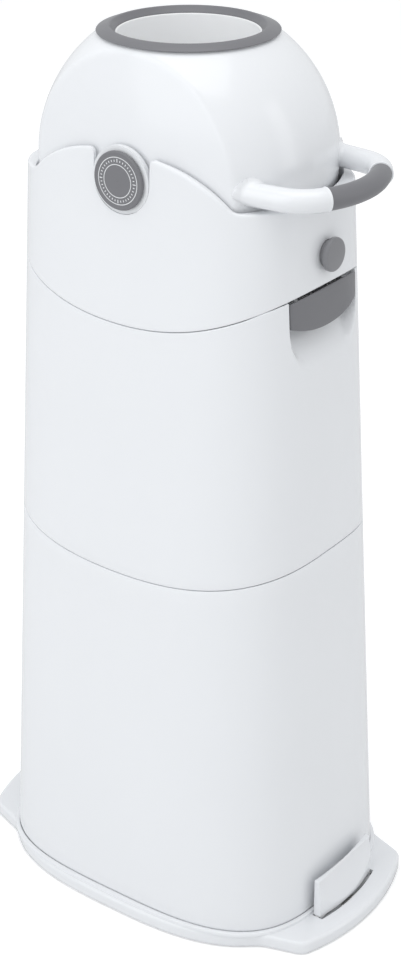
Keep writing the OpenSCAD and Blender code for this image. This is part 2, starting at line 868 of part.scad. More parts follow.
// The button's dished head, its stop flange and its stem, drawn with the axis along +Z and the head up
module lock_button() {
    head = button_back - button_y + 1.4;
    color(grey)
        translate([0, button_back, button_z])
            rotate([90, 0, 0])
                difference() {
                    union() {
                        cylinder(r = button_r, h = head);
                        translate([0, 0, -1.5])
                            cylinder(r = button_r + 1.4, h = 1.5);
                        translate([0, 0, -retainer_y + button_back - retainer_t - 0.6])
                            cylinder(r = 4.5, h = retainer_y - button_back + retainer_t);
                    }
                    translate([0, 0, head + 48])
                        sphere(r = 49.2, $fn = 2 * fine);
                }
}

module button_spring() {
    wire = 0.5;
    color(steel)
        translate([0, retainer_y, button_z])
            rotate([90, 0, 0])
                coil(6.5, wire, 1.15, 1.2);
}

// A bridge behind the button that stands on the cradle's flange
module button_retainer() {
    foot = button_bay + 5;
    color(white)
        difference() {
            union() {
                box(-foot, foot, retainer_y, retainer_y + retainer_t, button_z, button_z + 11);
                box(-button_bay + 1, button_bay - 1, retainer_y, retainer_y + retainer_t,
                    button_z - 11, button_z + 1);
            }
            translate([0, retainer_y + 10, button_z])
                rotate([90, 0, 0])
                    cylinder(r = 4.5 + pass, h = 20);
        }
}

// Bush in the lid's notch, on the side given by -1 or 1
bush_in = lid_hw - wall - 0.2;
bush_out = lid_hw + 0.5;
module pivot_bush(side) {
    color(white)
        difference() {
            rod_x(cap_r + 1.3, side > 0 ? bush_in : -bush_out, side > 0 ? bush_out : -bush_in, 0, pivot_z);
            rod_x(trunnion_r + run_gap, -far, far, 0, pivot_z);
        }
}

module pivot_bush_left() {
    pivot_bush(-1);
}

module pivot_bush_right() {
    pivot_bush(1);
}

// Screw posts in the drum, with wells for the heads in its lower shell
drum_post = [36, drum_r - 24.5];
post_r = 5;
well_r = 4.6;
head_z = 18;
module drum_form(inset) {
    rotate([0, 90, 0])
        rotate_extrude($fn = fine)
            drum_profile(inset);
}

module at_posts() {
    for (x = [-1, 1], y = [-1, 1])
        translate([x * drum_post[0], y * drum_post[1], 0])
            children();
}

module drum_half_shell(wells) {
    difference() {
        union() {
            difference() {
                drum_form(0);
                intersection() {
                    drum_form(drum_wall);
                    translate([-far, -far, -far])
                        cube([2 * far, 2 * far, far + flat_z - drum_wall]);
                }
            }
            intersection() {
                drum_form(drum_wall / 2);
                at_posts()
                    cylinder(r = post_r + 2, h = far);
            }
        }
        translate([-far, -far, -far])
            cube([2 * far, 2 * far, far]);
        translate([-far, -far, flat_z])
            cube([2 * far, 2 * far, far]);
        rod_x(trunnion_r + fit, -far, far, 0, 0);
        cylinder(r = chute_out + fit, h = far, center = true);
        for (side = [0, 1])
            mirror([side, 0, 0])
                sweep([each foot_path(handle_r + fit), arm_at(20, handle_r + fit)], 24);
        at_posts() {
            cylinder(r = 2 + run_gap, h = 2 * head_z - 2);
            if (wells)
                translate([0, 0, head_z])
                    cylinder(r = well_r, h = far);
        }
    }
}

module drum_upper_shell() {
    color(white)
        translate([0, 0, pivot_z])
            drum_half_shell(false);
}

module drum_lower_shell() {
    color(white)
        translate([0, 0, pivot_z])
            mirror([0, 0, 1])
                drum_half_shell(true);
}

// Chute in two lengths that lap, the lower one with the bosses that take the pivot screws
chute_joint = 24;
chute_lap = 6;
boss_out = drum_half - drum_wall - 4.2;
module chute_end(top) {
    translate([0, 0, lip_z - lip_h])
        difference() {
            cylinder(r = chute_out, h = lip_h, $fn = fine);
            translate([0, 0, -1])
                cylinder(r = lip_r, h = lip_h + 2, $fn = fine);
        }
    translate([0, 0, flat_z - drum_wall - 2])
        difference() {
            cylinder(r = chute_out + 5, h = 2, $fn = fine);
            translate([0, 0, -1])
                cylinder(r = chute_r, h = 4, $fn = fine);
        }
    translate([0, 0, top])
        difference() {
            cylinder(r = chute_out, h = lip_z - top, $fn = fine);
            translate([0, 0, -1])
                cylinder(r = chute_r, h = lip_z - top + 2, $fn = fine);
        }
}

module chute_upper() {
    color(white)
        translate([0, 0, pivot_z])
            difference() {
                chute_end(chute_joint - chute_lap + 0.1);
                cylinder(r = chute_r + chute_wall / 2 + 0.05, h = chute_joint + 0.1, $fn = fine);
            }
}

module chute_lower() {
    color(white)
        translate([0, 0, pivot_z])
            difference() {
                union() {
                    mirror([0, 0, 1])
                        chute_end(-chute_joint);
                    for (side = [0, 1])
                        mirror([side, 0, 0])
                            rod_x(9, chute_r + 0.5, boss_out, 0, 0);
                }
                translate([0, 0, -chute_joint])
                    cylinder(r = chute_r, h = 2 * chute_joint + 1, $fn = fine);
                translate([0, 0, chute_joint - chute_lap])
                    difference() {
                        cylinder(r = chute_out + 1, h = chute_lap + 1, $fn = fine);
                        cylinder(r = chute_r + chute_wall / 2 - 0.05, h = chute_lap + 1, $fn = fine);
                    }
                for (side = [-1, 1])
                    rod_x(1.7, side > 0 ? 55 : -far, side > 0 ? far : -55, 0, 0);
            }
}

// Grey ring on a mouth: a flat seat, an upright edge and a wide bevel
module rim_ring() {
    bore = chute_out + 0.1;
    color(grey)
        rotate_extrude($fn = fine)
            polygon([[bore, flat_z], [rim_r, flat_z], [rim_r + 0.1, flat_z + 0.7],
                     [rim_r - 0.5, flat_z + 2], [rim_r - bevel_w, mouth_z - bevel_drop],
                     [rim_r - 6, mouth_z - 0.15], [rim_r - 7.4, mouth_z], [bore + 1.2, mouth_z],
                     [bore + 0.3, mouth_z - 0.3], [bore, mouth_z - 1]]);
}

module upper_rim_ring() {
    translate([0, 0, pivot_z])
        rim_ring();
}

module lower_rim_ring() {
    translate([0, 0, pivot_z])
        mirror([0, 0, 1])
            rim_ring();
}

// Piston, at rest on the chute's lower lip
piston_r = chute_r - 0.7;
piston_z = pivot_z - lip_z + lip_h + fit;
piston_wall = 2;
cover_t = 2.4;
seal_h = 3;
module piston_grooves(r) {
    for (z = [8, piston_h - 8 - seal_h])
        translate([0, 0, piston_z + z])
            difference() {
                cylinder(r = piston_r + 1, h = seal_h, $fn = fine);
                translate([0, 0, -1])
                    cylinder(r = r, h = seal_h + 2, $fn = fine);
            }
}

module piston_cup() {
    color(white)
        difference() {
            translate([0, 0, piston_z])
                cylinder(r = piston_r, h = piston_h, $fn = fine);
            translate([0, 0, piston_z - 1])
                cylinder(r = piston_r - 2 * piston_wall, h = piston_h + 1 - piston_wall, $fn = fine);
            translate([0, 0, piston_z - 1])
                cylinder(r = piston_r - piston_wall, h = cover_t + 1, $fn = fine);
            piston_grooves(piston_r - 1.2);
        }
}

module piston_cover() {
    color(white)
        translate([0, 0, piston_z])
            cylinder(r = piston_r - piston_wall - 0.1, h = cover_t, $fn = fine);
}

module piston_seals() {
    color(black)
        for (z = [8, piston_h - 8 - seal_h])
            translate([0, 0, piston_z + z + 0.1])
                difference() {
                    cylinder(r = chute_r - 0.3, h = seal_h - 0.2, $fn = fine);
                    translate([0, 0, -1])
                        cylinder(r = piston_r - 1.15, h = seal_h + 2, $fn = fine);
                }
}

// Trunnion held in the drum by an inner flange, with a counterbore for its screw and the cap's spigot
trunnion_end = bush_out + 0.4;
spigot_r = 6.1;
module trunnion() {
    color(white)
        difference() {
            union() {
                rod_x(trunnion_r, boss_out + 0.1, trunnion_end, 0, pivot_z);
                rod_x(trunnion_r + 6, boss_out + 0.1, drum_half - drum_wall - 0.9, 0, pivot_z);
            }
            rod_x(spigot_r + 0.1, boss_out + 4, far, 0, pivot_z);
            rod_x(2.2, 0, far, 0, pivot_z);
        }
}

module trunnion_left() {
    mirror([1, 0, 0])
        trunnion();
}

module trunnion_right() {
    trunnion();
}

// Round cap with a slight dome, a shallow ring and a spigot
cap_back = max(hw(pivot_z - cap_r), trunnion_end) + 0.35;
module pivot_cap() {
    dome_h = 1.1;
    cap_dome_r = (cap_r * cap_r + dome_h * dome_h) / (2 * dome_h);
    ring_r = 14;
    color(grey)
        translate([cap_back, 0, pivot_z])
            rotate([0, 90, 0])
                difference() {
                    union() {
                        intersection() {
                            cylinder(r = cap_r, h = cap_h, $fn = fine);
                            translate([0, 0, cap_h - cap_dome_r])
                                sphere(r = cap_dome_r, $fn = 4 * fine);
                        }
                        translate([0, 0, -6])
                            cylinder(r = spigot_r, h = 7);
                    }
                    translate([0, 0, cap_h - 0.9])
                        difference() {
                            cylinder(r = ring_r + 0.4, h = 2, $fn = fine);
                            cylinder(r = ring_r - 0.4, h = 2, $fn = fine);
                        }
                }
}

module pivot_cap_left() {
    mirror([1, 0, 0])
        pivot_cap();
}

module pivot_cap_right() {
    pivot_cap();
}

module pivot_screws() {
    head = boss_out + 4;
    color(steel)
        for (side = [0, 1])
            mirror([side, 0, 0])
                difference() {
                    union() {
                        rod_x(1.7, head - 13, head + 1, 0, pivot_z);
                        rod_x(4.2, head, head + 2.6, 0, pivot_z);
                    }
                    box(head + 1.4, head + 4, -0.6, 0.6, pivot_z - 3, pivot_z + 3);
                }
}

module drum_screws() {
    color(steel)
        for (x = [-1, 1], y = [-1, 1])
            translate([x * drum_post[0], y * drum_post[1], pivot_z - head_z])
                difference() {
                    union() {
                        translate([0, 0, -2.4])
                            cylinder(r = 4, h = 2.4);
                        translate([0, 0, -0.5])
                            cylinder(r = 2, h = 32);
                    }
                    translate([-0.5, -3, -3])
                        cube([1, 6, 1.6]);
                }
}

// Handle in one piece: a foot inside the drum on each side, two arms, and a thin core through the grip
module handle_bow() {
    color(white)
        translate([0, 0, pivot_z])
            sweep(handle_path, 24);
}

module handle_grip() {
    half = 90 - collar_turn;
    color(grey)
        translate([0, front_r - handle_reach, pivot_z])
            rotate([0, 0, -90 - half])
                rotate_extrude(angle = 2 * half, $fn = fine)
                    translate([front_r, 0])
                        difference() {
                            circle(r = handle_r);
                            circle(r = grip_bore);
                        }
}

base_plate();
rubber_feet();
clip_front();
clip_rear();
clip_pins();
clip_springs();
lower_body();
upper_body();
latch();
latch_pin();
latch_springs();
hinge_pin();
lid_shell();
drum_cradle();
cradle_screws();
drum_seal();
lock_button();
button_spring();
button_retainer();
pivot_bush_left();
pivot_bush_right();
drum_upper_shell();
drum_lower_shell();
chute_upper();
chute_lower();
upper_rim_ring();
lower_rim_ring();
piston_cup();
piston_cover();
piston_seals();
trunnion_left();
trunnion_right();
pivot_cap_left();
pivot_cap_right();
pivot_screws();
drum_screws();
handle_bow();
handle_grip();
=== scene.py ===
# A tall nappy bin on a pale floor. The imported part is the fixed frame. The shells, rings, handle, latch, button,
# base and clips that show are modelled here at full detail, each in the place of its own solid.
# Metres, +Z up. The front, with the handle, is towards -Y, and the drum turns about an axis along X.

import math
import bmesh
import bpy
import numpy as np
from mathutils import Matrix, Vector


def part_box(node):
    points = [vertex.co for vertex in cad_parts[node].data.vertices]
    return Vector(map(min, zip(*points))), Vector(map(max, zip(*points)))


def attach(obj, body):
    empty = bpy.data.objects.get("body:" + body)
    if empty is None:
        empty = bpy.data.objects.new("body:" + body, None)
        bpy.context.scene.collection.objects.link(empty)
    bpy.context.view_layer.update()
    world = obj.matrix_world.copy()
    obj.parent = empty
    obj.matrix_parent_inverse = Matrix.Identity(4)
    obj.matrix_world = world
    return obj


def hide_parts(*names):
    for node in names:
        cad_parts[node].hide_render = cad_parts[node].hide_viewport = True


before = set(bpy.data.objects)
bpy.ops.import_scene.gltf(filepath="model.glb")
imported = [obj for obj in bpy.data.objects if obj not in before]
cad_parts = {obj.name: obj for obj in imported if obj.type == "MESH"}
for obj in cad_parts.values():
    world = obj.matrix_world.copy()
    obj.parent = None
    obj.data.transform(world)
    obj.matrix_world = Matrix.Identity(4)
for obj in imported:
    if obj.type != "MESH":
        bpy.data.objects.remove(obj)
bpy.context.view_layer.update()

# Heights
BASE_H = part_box("lower_body")[0].z
PIVOT_Z = (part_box("pivot_cap_right")[0].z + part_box("pivot_cap_right")[1].z) / 2
LOWER_SEAM_Z = BASE_H + 0.2914
UPPER_SEAM_Z = LOWER_SEAM_Z + 0.1976

# Body: half sizes at the pivot's height, taper, wall and curved seams
LID_HW = 0.079
LID_HD = 0.1176
TAPER_X = 0.0536
TAPER_Y = 0.0439
WALL = 0.003
BODY_SQUARE = 3.3
LOWER_SEAM_R = 0.426
UPPER_SEAM_R = 0.239
HALF_GAP = 0.0003

# Drum, measured from the pivot
DRUM_R = 0.1085
DRUM_HALF = 0.074
DOME_RISE = 0.0084
CREASE_ROUND = 0.007
DRUM_WALL = 0.003
FLAT_R = 0.062
RING_R = 0.0651
CHUTE_R = 0.0505
CHUTE_OUT = 0.0524
CHUTE_HOLE = 0.0526
FUNNEL = 0.0046
FLAT_Z = math.sqrt(DRUM_R ** 2 - FLAT_R ** 2)
MOUTH_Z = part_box("upper_rim_ring")[1].z - PIVOT_Z
SPACE_R = 0.11146
SPACE_HALF = 0.0755
SPACE_FLAT = 0.040

# Lid edge, seen from the side
HANDLE_R = 0.0085
RIM_Z = PIVOT_Z - HANDLE_R - 0.0018
CREST_Z = PIVOT_Z + 0.019
CREST_HALF = 0.017
SHOULDER_R = 0.100
DIP_R = 0.012

# Latch and lock button
LATCH_HALF = 0.0413
LATCH_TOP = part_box("latch_pin")[0].z + 0.0015 + 0.005
LATCH_H = 0.029
LATCH_BOW = 0.008
LATCH_THICK = 0.0034
LATCH_GAP = 0.0026
SCOOP_R = 0.026
SCOOP_HALF = 0.042
BUTTON_R = 0.0124
BUTTON_NECK_R = 0.0095
BUTTON_OUT = 0.0036
BUTTON_Z = PIVOT_Z - 0.051

# Base plate, tabs and clips
BASE_OUT = 0.005699
BASE_SQUARE = 2.86
TAB_REACH = 0.176525
TAB_ROUND = 0.012
TAB_TILT = math.radians(17.8)
TAB_ROOT_X = 0.083
CLIP_HALF = 0.0377
CLIP_TOP = 0.046
CLIP_IN_R = 0.248


def hw(z):
    return LID_HW + TAPER_X * (PIVOT_Z - z)


def hd(z):
    return LID_HD + TAPER_Y * (PIVOT_Z - z)


def arc_z(low, radius, y):
    return low + radius - np.sqrt(radius ** 2 - y ** 2)


def lower_seam(y):
    return arc_z(LOWER_SEAM_Z, LOWER_SEAM_R, y)


def upper_seam(y):
    return arc_z(UPPER_SEAM_Z, UPPER_SEAM_R, y)


# Mesh making

def mesh_object(name, verts, faces, sharp=40):
    mesh = bpy.data.meshes.new(name)
    mesh.from_pydata([tuple(map(float, v)) for v in verts], [], faces)
    mesh.validate()
    work = bmesh.new()
    work.from_mesh(mesh)
    bmesh.ops.recalc_face_normals(work, faces=work.faces)
    if work.calc_volume(signed=True) < 0:
        bmesh.ops.reverse_faces(work, faces=work.faces)
    work.to_mesh(mesh)
    work.free()
    for polygon in mesh.polygons:
        polygon.use_smooth = True
    mesh.set_sharp_from_angle(angle=math.radians(sharp))
    obj = bpy.data.objects.new(name, mesh)
    bpy.context.scene.collection.objects.link(obj)
    return obj


def loft_faces(rows, columns, first=0, around=True, along=False):
    """Quads between rows of points, closed around each row and, if asked, from the last row to the first."""
    faces = []
    for i in range(rows if along else rows - 1):
        low, high = first + i * columns, first + (i + 1) % rows * columns
        for j in range(columns if around else columns - 1):
            k = (j + 1) % columns
            faces.append((low + j, low + k, high + k, high + j))
    return faces


def loft(name, rings, along=True, sharp=40):
    """A skin through rings of points. Unless it closes on itself it gets a flat cap at each end."""
    count = len(rings[0])
    faces = loft_faces(len(rings), count, along=along)
    if not along:
        faces.append(tuple(range(count)))
        faces.append(tuple(range(len(rings) * count - 1, (len(rings) - 1) * count - 1, -1)))
    return mesh_object(name, np.concatenate(rings), faces, sharp)


def joined(name, objects, sharp=40):
    """One object from several, with their meshes as they are."""
    verts, faces = [], []
    for obj in objects:
        first = len(verts)
        verts.extend(v.co.copy() for v in obj.data.vertices)
        faces.extend(tuple(first + i for i in p.vertices) for p in obj.data.polygons)
        mesh = obj.data
        bpy.data.objects.remove(obj)
        bpy.data.meshes.remove(mesh)
    return mesh_object(name, verts, faces, sharp)


def box(name, low, high):
    x0, y0, z0 = low
    x1, y1, z1 = high
    verts = [(x, y, z) for z in (z0, z1) for x, y in ((x0, y0), (x1, y0), (x1, y1), (x0, y1))]
    return loft(name, [np.array(verts[:4]), np.array(verts[4:])], along=False)


def lathe(name, profile, axis, centre, segments=128, sharp=40):
    """A turned solid. The profile is a closed list of (radius, place along the axis), with no point on the axis."""
    turn = np.linspace(0, 2 * math.pi, segments, endpoint=False)
    rings = []
    for radius, place in profile:
        a, b, c = radius * np.cos(turn), radius * np.sin(turn), np.full(segments, place)
        rings.append({"x": np.stack([c, a, b], 1), "y": np.stack([b, c, a], 1), "z": np.stack([a, b, c], 1)}[axis])
    return loft(name, [ring + np.array(centre) for ring in rings], sharp=sharp)


def rod_x(name, radius, x0, x1, y, z, edge=0.0003, segments=48):
    tiny = radius * 0.02
    profile = [(tiny, x0), (radius - edge, x0), (radius, x0 + edge), (radius, x1 - edge), (radius - edge, x1), (tiny, x1)]
    return lathe(name, profile, "x", (0, y, z), segments)


def bevel(obj, width, segments=3, angle=35):
    modifier = obj.modifiers.new("edges", "BEVEL")
    modifier.width = width
    modifier.segments = segments
    modifier.limit_method = "ANGLE"
    modifier.angle_limit = math.radians(angle)
    modifier.harden_normals = False
    return obj


def apply_modifiers(obj):
    graph = bpy.context.evaluated_depsgraph_get()
    made = bpy.data.meshes.new_from_object(obj.evaluated_get(graph))
    obj.modifiers.clear()
    obj.data = made
    return obj


def cut(obj, cutters, sharp=40, solver="EXACT"):
    """Takes the cutters out of obj and deletes them."""
    for cutter in cutters:
        modifier = obj.modifiers.new("cut", "BOOLEAN")
        modifier.operation = "DIFFERENCE"
        modifier.solver = solver
        modifier.object = cutter
        apply_modifiers(obj)
        bpy.data.objects.remove(cutter)
    for polygon in obj.data.polygons:
        polygon.use_smooth = True
    obj.data.set_sharp_from_angle(angle=math.radians(sharp))
    return obj


# Materials

def ramp(nodes, points):
    node = nodes.new("ShaderNodeValToRGB")
    elements = node.color_ramp.elements
    for element, (place, value) in zip(elements, points):
        element.position = place
        element.color = (value, value, value, 1)
    return node


def plastic(name, colour, roughness, spread, grain, grain_depth, coat=0.0):
    """Moulded plastic: faint cloudy colour, uneven gloss and a moulded grain, in the object's own space."""
    material = bpy.data.materials.new(name)
    material.use_nodes = True
    nodes, links = material.node_tree.nodes, material.node_tree.links
    shader = nodes["Principled BSDF"]
    shader.inputs["IOR"].default_value = 1.5
    shader.inputs["Coat Weight"].default_value = coat
    shader.inputs["Coat Roughness"].default_value = 0.08
    place = nodes.new("ShaderNodeTexCoord")
    cloud = nodes.new("ShaderNodeTexNoise")
    cloud.inputs["Scale"].default_value = 9
    cloud.inputs["Detail"].default_value = 4
    links.new(place.outputs["Object"], cloud.inputs["Vector"])
    tint = nodes.new("ShaderNodeMix")
    tint.data_type = "RGBA"
    tint.inputs[6].default_value = (*[c * 0.985 for c in colour], 1)
    tint.inputs[7].default_value = (*[min(1, c * 1.012) for c in colour], 1)
    links.new(cloud.outputs["Fac"], tint.inputs[0])
    links.new(tint.outputs[2], shader.inputs["Base Color"])
    uneven = nodes.new("ShaderNodeTexNoise")
    uneven.inputs["Scale"].default_value = 35
    uneven.inputs["Detail"].default_value = 5
    links.new(place.outputs["Object"], uneven.inputs["Vector"])
    gloss = ramp(nodes, [(0.3, roughness - spread), (0.7, roughness + spread)])
    links.new(uneven.outputs["Fac"], gloss.inputs["Fac"])
    links.new(gloss.outputs["Color"], shader.inputs["Roughness"])
    skin = nodes.new("ShaderNodeTexNoise")
    skin.inputs["Scale"].default_value = grain
    skin.inputs["Detail"].default_value = 2
    links.new(place.outputs["Object"], skin.inputs["Vector"])
    bump = nodes.new("ShaderNodeBump")
    bump.inputs["Strength"].default_value = 1
    bump.inputs["Distance"].default_value = grain_depth
    links.new(skin.outputs["Fac"], bump.inputs["Height"])
    links.new(bump.outputs["Normal"], shader.inputs["Normal"])
    return material


def steel_material():
    material = bpy.data.materials.new("drawn_steel")
    material.use_nodes = True
    nodes, links = material.node_tree.nodes, material.node_tree.links
    shader = nodes["Principled BSDF"]
    shader.inputs["Metallic"].default_value = 1
    place = nodes.new("ShaderNodeTexCoord")
    stretch = nodes.new("ShaderNodeMapping")
    stretch.inputs["Scale"].default_value = (40, 900, 900)
    links.new(place.outputs["Object"], stretch.inputs["Vector"])
    lines = nodes.new("ShaderNodeTexNoise")
    lines.inputs["Scale"].default_value = 1
    lines.inputs["Detail"].default_value = 3
    links.new(stretch.outputs["Vector"], lines.inputs["Vector"])
    tone = ramp(nodes, [(0.2, 0.50), (0.8, 0.64)])
    links.new(lines.outputs["Fac"], tone.inputs["Fac"])
    links.new(tone.outputs["Color"], shader.inputs["Base Color"])
    rough = ramp(nodes, [(0.2, 0.25), (0.8, 0.42)])
    links.new(lines.outputs["Fac"], rough.inputs["Fac"])
    links.new(rough.outputs["Color"], shader.inputs["Roughness"])
    return material


WHITE = plastic("white_gloss_plastic", (0.84, 0.852, 0.872), 0.2, 0.03, 260, 0.000006, coat=0.25)
WHITE_FLAT = plastic("white_moulded_plastic", (0.82, 0.832, 0.85), 0.42, 0.06, 900, 0.00001)
# White plastic for the chute and for the piston seen down it. It is partly real white, and partly painted light: it is
# lighter than the shell's white so that the shaded inside of the chute looks lit.
WHITE_PAINTED_LIGHT = plastic("white_plastic_painted_light", (0.93, 0.935, 0.94), 0.35, 0.05, 700, 0.000006)
GREY = plastic("grey_satin_plastic", (0.182, 0.182, 0.194), 0.4, 0.05, 1700, 0.000012)
BUTTON_GREY = plastic("grey_button_plastic", (0.24, 0.24, 0.252), 0.36, 0.05, 1700, 0.00001)
RUBBER = plastic("black_rubber", (0.03, 0.03, 0.032), 0.65, 0.08, 1100, 0.00002)
MARK = plastic("white_print", (0.78, 0.79, 0.8), 0.5, 0.04, 1500, 0.000005)
STEEL = steel_material()


def finish_piece(obj, material, body, nodes=()):
    obj.data.materials.clear()
    obj.data.materials.append(material)
    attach(obj, body)
    if nodes:
        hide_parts(*nodes)
    return obj


# Rounded edges, as offsets from an edge: (height, inset)

def round_bottom_outer(r, steps=4):
    turns = [math.pi / 2 * k / steps for k in range(steps + 1)]
    return [(r - r * math.cos(a), r - r * math.sin(a)) for a in turns]


def round_top_outer(r, steps=4):
    return [(-r + r * math.sin(a), r - r * math.cos(a)) for a in [math.pi / 2 * k / steps for k in range(steps + 1)]]


def round_top_inner(r, inner, steps=3):
    turns = [math.pi / 2 * k / steps for k in range(steps + 1)]
    return [(-r + r * math.cos(a), inner - r + r * math.sin(a)) for a in turns]


def round_bottom_inner(r, inner, steps=3):
    turns = [math.pi / 2 * k / steps for k in range(steps + 1)]
    return [(r - r * math.sin(a), inner - r + r * math.cos(a)) for a in turns]


# Body walls. A column keeps its share of the half sizes at every height, and rows run round at a height and inset.

def column_shares(angles):
    """Shares (of half width, of half depth) of the points at these angles round the rounded oblong."""
    aspect = LID_HW / LID_HD
    c, s = np.cos(angles) / aspect, np.sin(angles)
    reach = (np.abs(c) ** BODY_SQUARE + np.abs(s) ** BODY_SQUARE) ** (-1 / BODY_SQUARE)
    return c * reach, s * reach


def even_angles(count):
    return np.linspace(0, 2 * math.pi, count, endpoint=False)


def settle(shares, inset, height):
    """Heights of a row where the height asked for depends on the row's own Y."""
    z = np.full(len(shares[0]), UPPER_SEAM_Z)
    for _ in range(6):
        z = height((hd(z) - inset) * shares[1])
    return z


def wall_row(shares, inset, height):
    z = settle(shares, inset, height)
    return np.stack([(hw(z) - inset) * shares[0], (hd(z) - inset) * shares[1], z], 1)


def rows_from(offsets, edge):
    """Row makers for offsets from an edge, which gives a height for a Y."""
    return [(lambda y, dz=dz: edge(y) + dz, inset) for dz, inset in offsets]


def rows_between(low, high, inset, shares):
    return [(lambda y, f=f: low(y) + (high(y) - low(y)) * f, inset) for f in shares]


def build_lower_body():
    shares = column_shares(even_angles(320))
    edge = 0.0008
    foot_round = 0.0045
    floor = lambda y: BASE_H + 0.0001 + 0 * y
    seam = lambda y: lower_seam(y) - HALF_GAP
    foot = [(0.0, 0.0022), (0.0006, 0.0012), (0.0016, 0.0006), (foot_round, 0.0)]
    low, high = (lambda y: floor(y) + foot_round), (lambda y: seam(y) - edge)
    rows = rows_from(foot, floor)
    rows += rows_between(low, high, 0, np.linspace(0, 1, 26)[1:-1])
    rows += rows_from(round_top_outer(edge), seam)
    rows += rows_from(round_top_inner(edge, WALL), seam)
    rows += rows_between(high, low, WALL, np.linspace(0, 1, 12)[1:-1])
    rows += rows_from([(0.001, WALL), (0.0, WALL - 0.0005)], floor)
    obj = loft("lower_body_shell", [wall_row(shares, inset, height) for height, inset in rows])
    window = [box("window", (-0.0135, side * hd(0.03) - 0.006, 0.0265), (0.0135, side * hd(0.03) + 0.006, 0.0345))
              for side in (-1, 1)]
    cut(obj, window)
    return finish_piece(obj, WHITE, "base", ["lower_body"])


# Upper body, with the finger scoop sunk in its front

SCOOP_Z = LATCH_TOP - 0.019
SCOOP_Y = -hd(SCOOP_Z) - 0.008
SCOOP_FADE = 0.042
NOTCH_HALF = 0.0095
STEP_TOP = LATCH_TOP - 0.006
SCOOP_LOW = SCOOP_Z - SCOOP_FADE


def smooth_step(x, start, end):
    t = np.clip((x - start) / (end - start), 0, 1)
    return t * t * (3 - 2 * t)


def soft_positive(x, width):
    """x where it is positive and 0 where it is negative, with a rounded corner."""
    return np.where(x > width, x, np.where(x < -width, 0, (x + width) ** 2 / (4 * width)))


def scoop_mask(x, z):
    """1 inside the scoop's outline: plumb sides behind the latch, then a bowl with ever softer sides."""
    down = np.clip((LATCH_TOP - LATCH_H + LATCH_BOW - z) / (SCOOP_FADE + 0.002), 0, 1)
    half = SCOOP_HALF * np.sqrt(1 - 0.72 * down ** 2)
    return smooth_step(np.abs(x), half + 0.0006, half - 0.0006 - 0.016 * down)


def scoop_depth(x, y, z):
    """How far the front wall is pushed in at each point of its outside."""
    inside = np.maximum(SCOOP_R ** 2 - (z - SCOOP_Z) ** 2, 0)
    hollow = SCOOP_Y + np.sqrt(inside)
    seat = np.where(z > STEP_TOP, SCOOP_Y + SCOOP_R * 0.66, -1)
    notch = np.where((z > LATCH_TOP - 0.009) & (np.abs(x) < NOTCH_HALF), -0.1074, -1)
    target = np.maximum(np.maximum(hollow, seat), notch)
    above = soft_positive(target - y, 0.0009)
    deepest = SCOOP_Y + SCOOP_R + hd(SCOOP_Z)
    below = deepest * (1 - smooth_step(SCOOP_Z - z, 0, SCOOP_FADE))
    depth = np.where(z > SCOOP_Z, above, below)
    return np.where(y < 0, depth * scoop_mask(x, z), 0)


def upper_angles():
    """Even columns, with close ones across the scoop's sides and the hook's notch."""
    spread = list(even_angles(288))
    y = -hd(SCOOP_Z)
    fine = [x for side in (-1, 1) for edge in (SCOOP_HALF, NOTCH_HALF) for x in side * edge + np.arange(-8, 9) * 0.0002]
    close = [math.atan2(y, x) % (2 * math.pi) for x in list(np.arange(-0.048, 0.0481, 0.0015)) + fine]
    angles = np.array(sorted(spread + close))
    return angles[np.append(True, np.diff(angles) > 1e-4)]


def front_row(shares, inset, height, level):
    """A row whose front columns keep their place in X from this level up, so that the scoop's sides are plumb."""
    row = wall_row(shares, inset, height)
    kept = (hw(level) * shares[0], smooth_step(np.abs(hw(level) * shares[0]), 0.072, 0.05) * (shares[1] < 0))
    above = smooth_step(row[:, 2], level - 0.03, level)
    weight = kept[1] * above
    x = row[:, 0] * (1 - weight) + kept[0] * weight
    ratio = np.clip(np.abs(x) / (hw(row[:, 2]) - inset), 0, 0.9999)
    y = -(hd(row[:, 2]) - inset) * (1 - ratio ** BODY_SQUARE) ** (1 / BODY_SQUARE)
    row[:, 1] = np.where(weight > 0, y, row[:, 1])
    row[:, 0] = x
    return row


FRONT_GAP = 0.0006
BEHIND_LATCH = 0.006


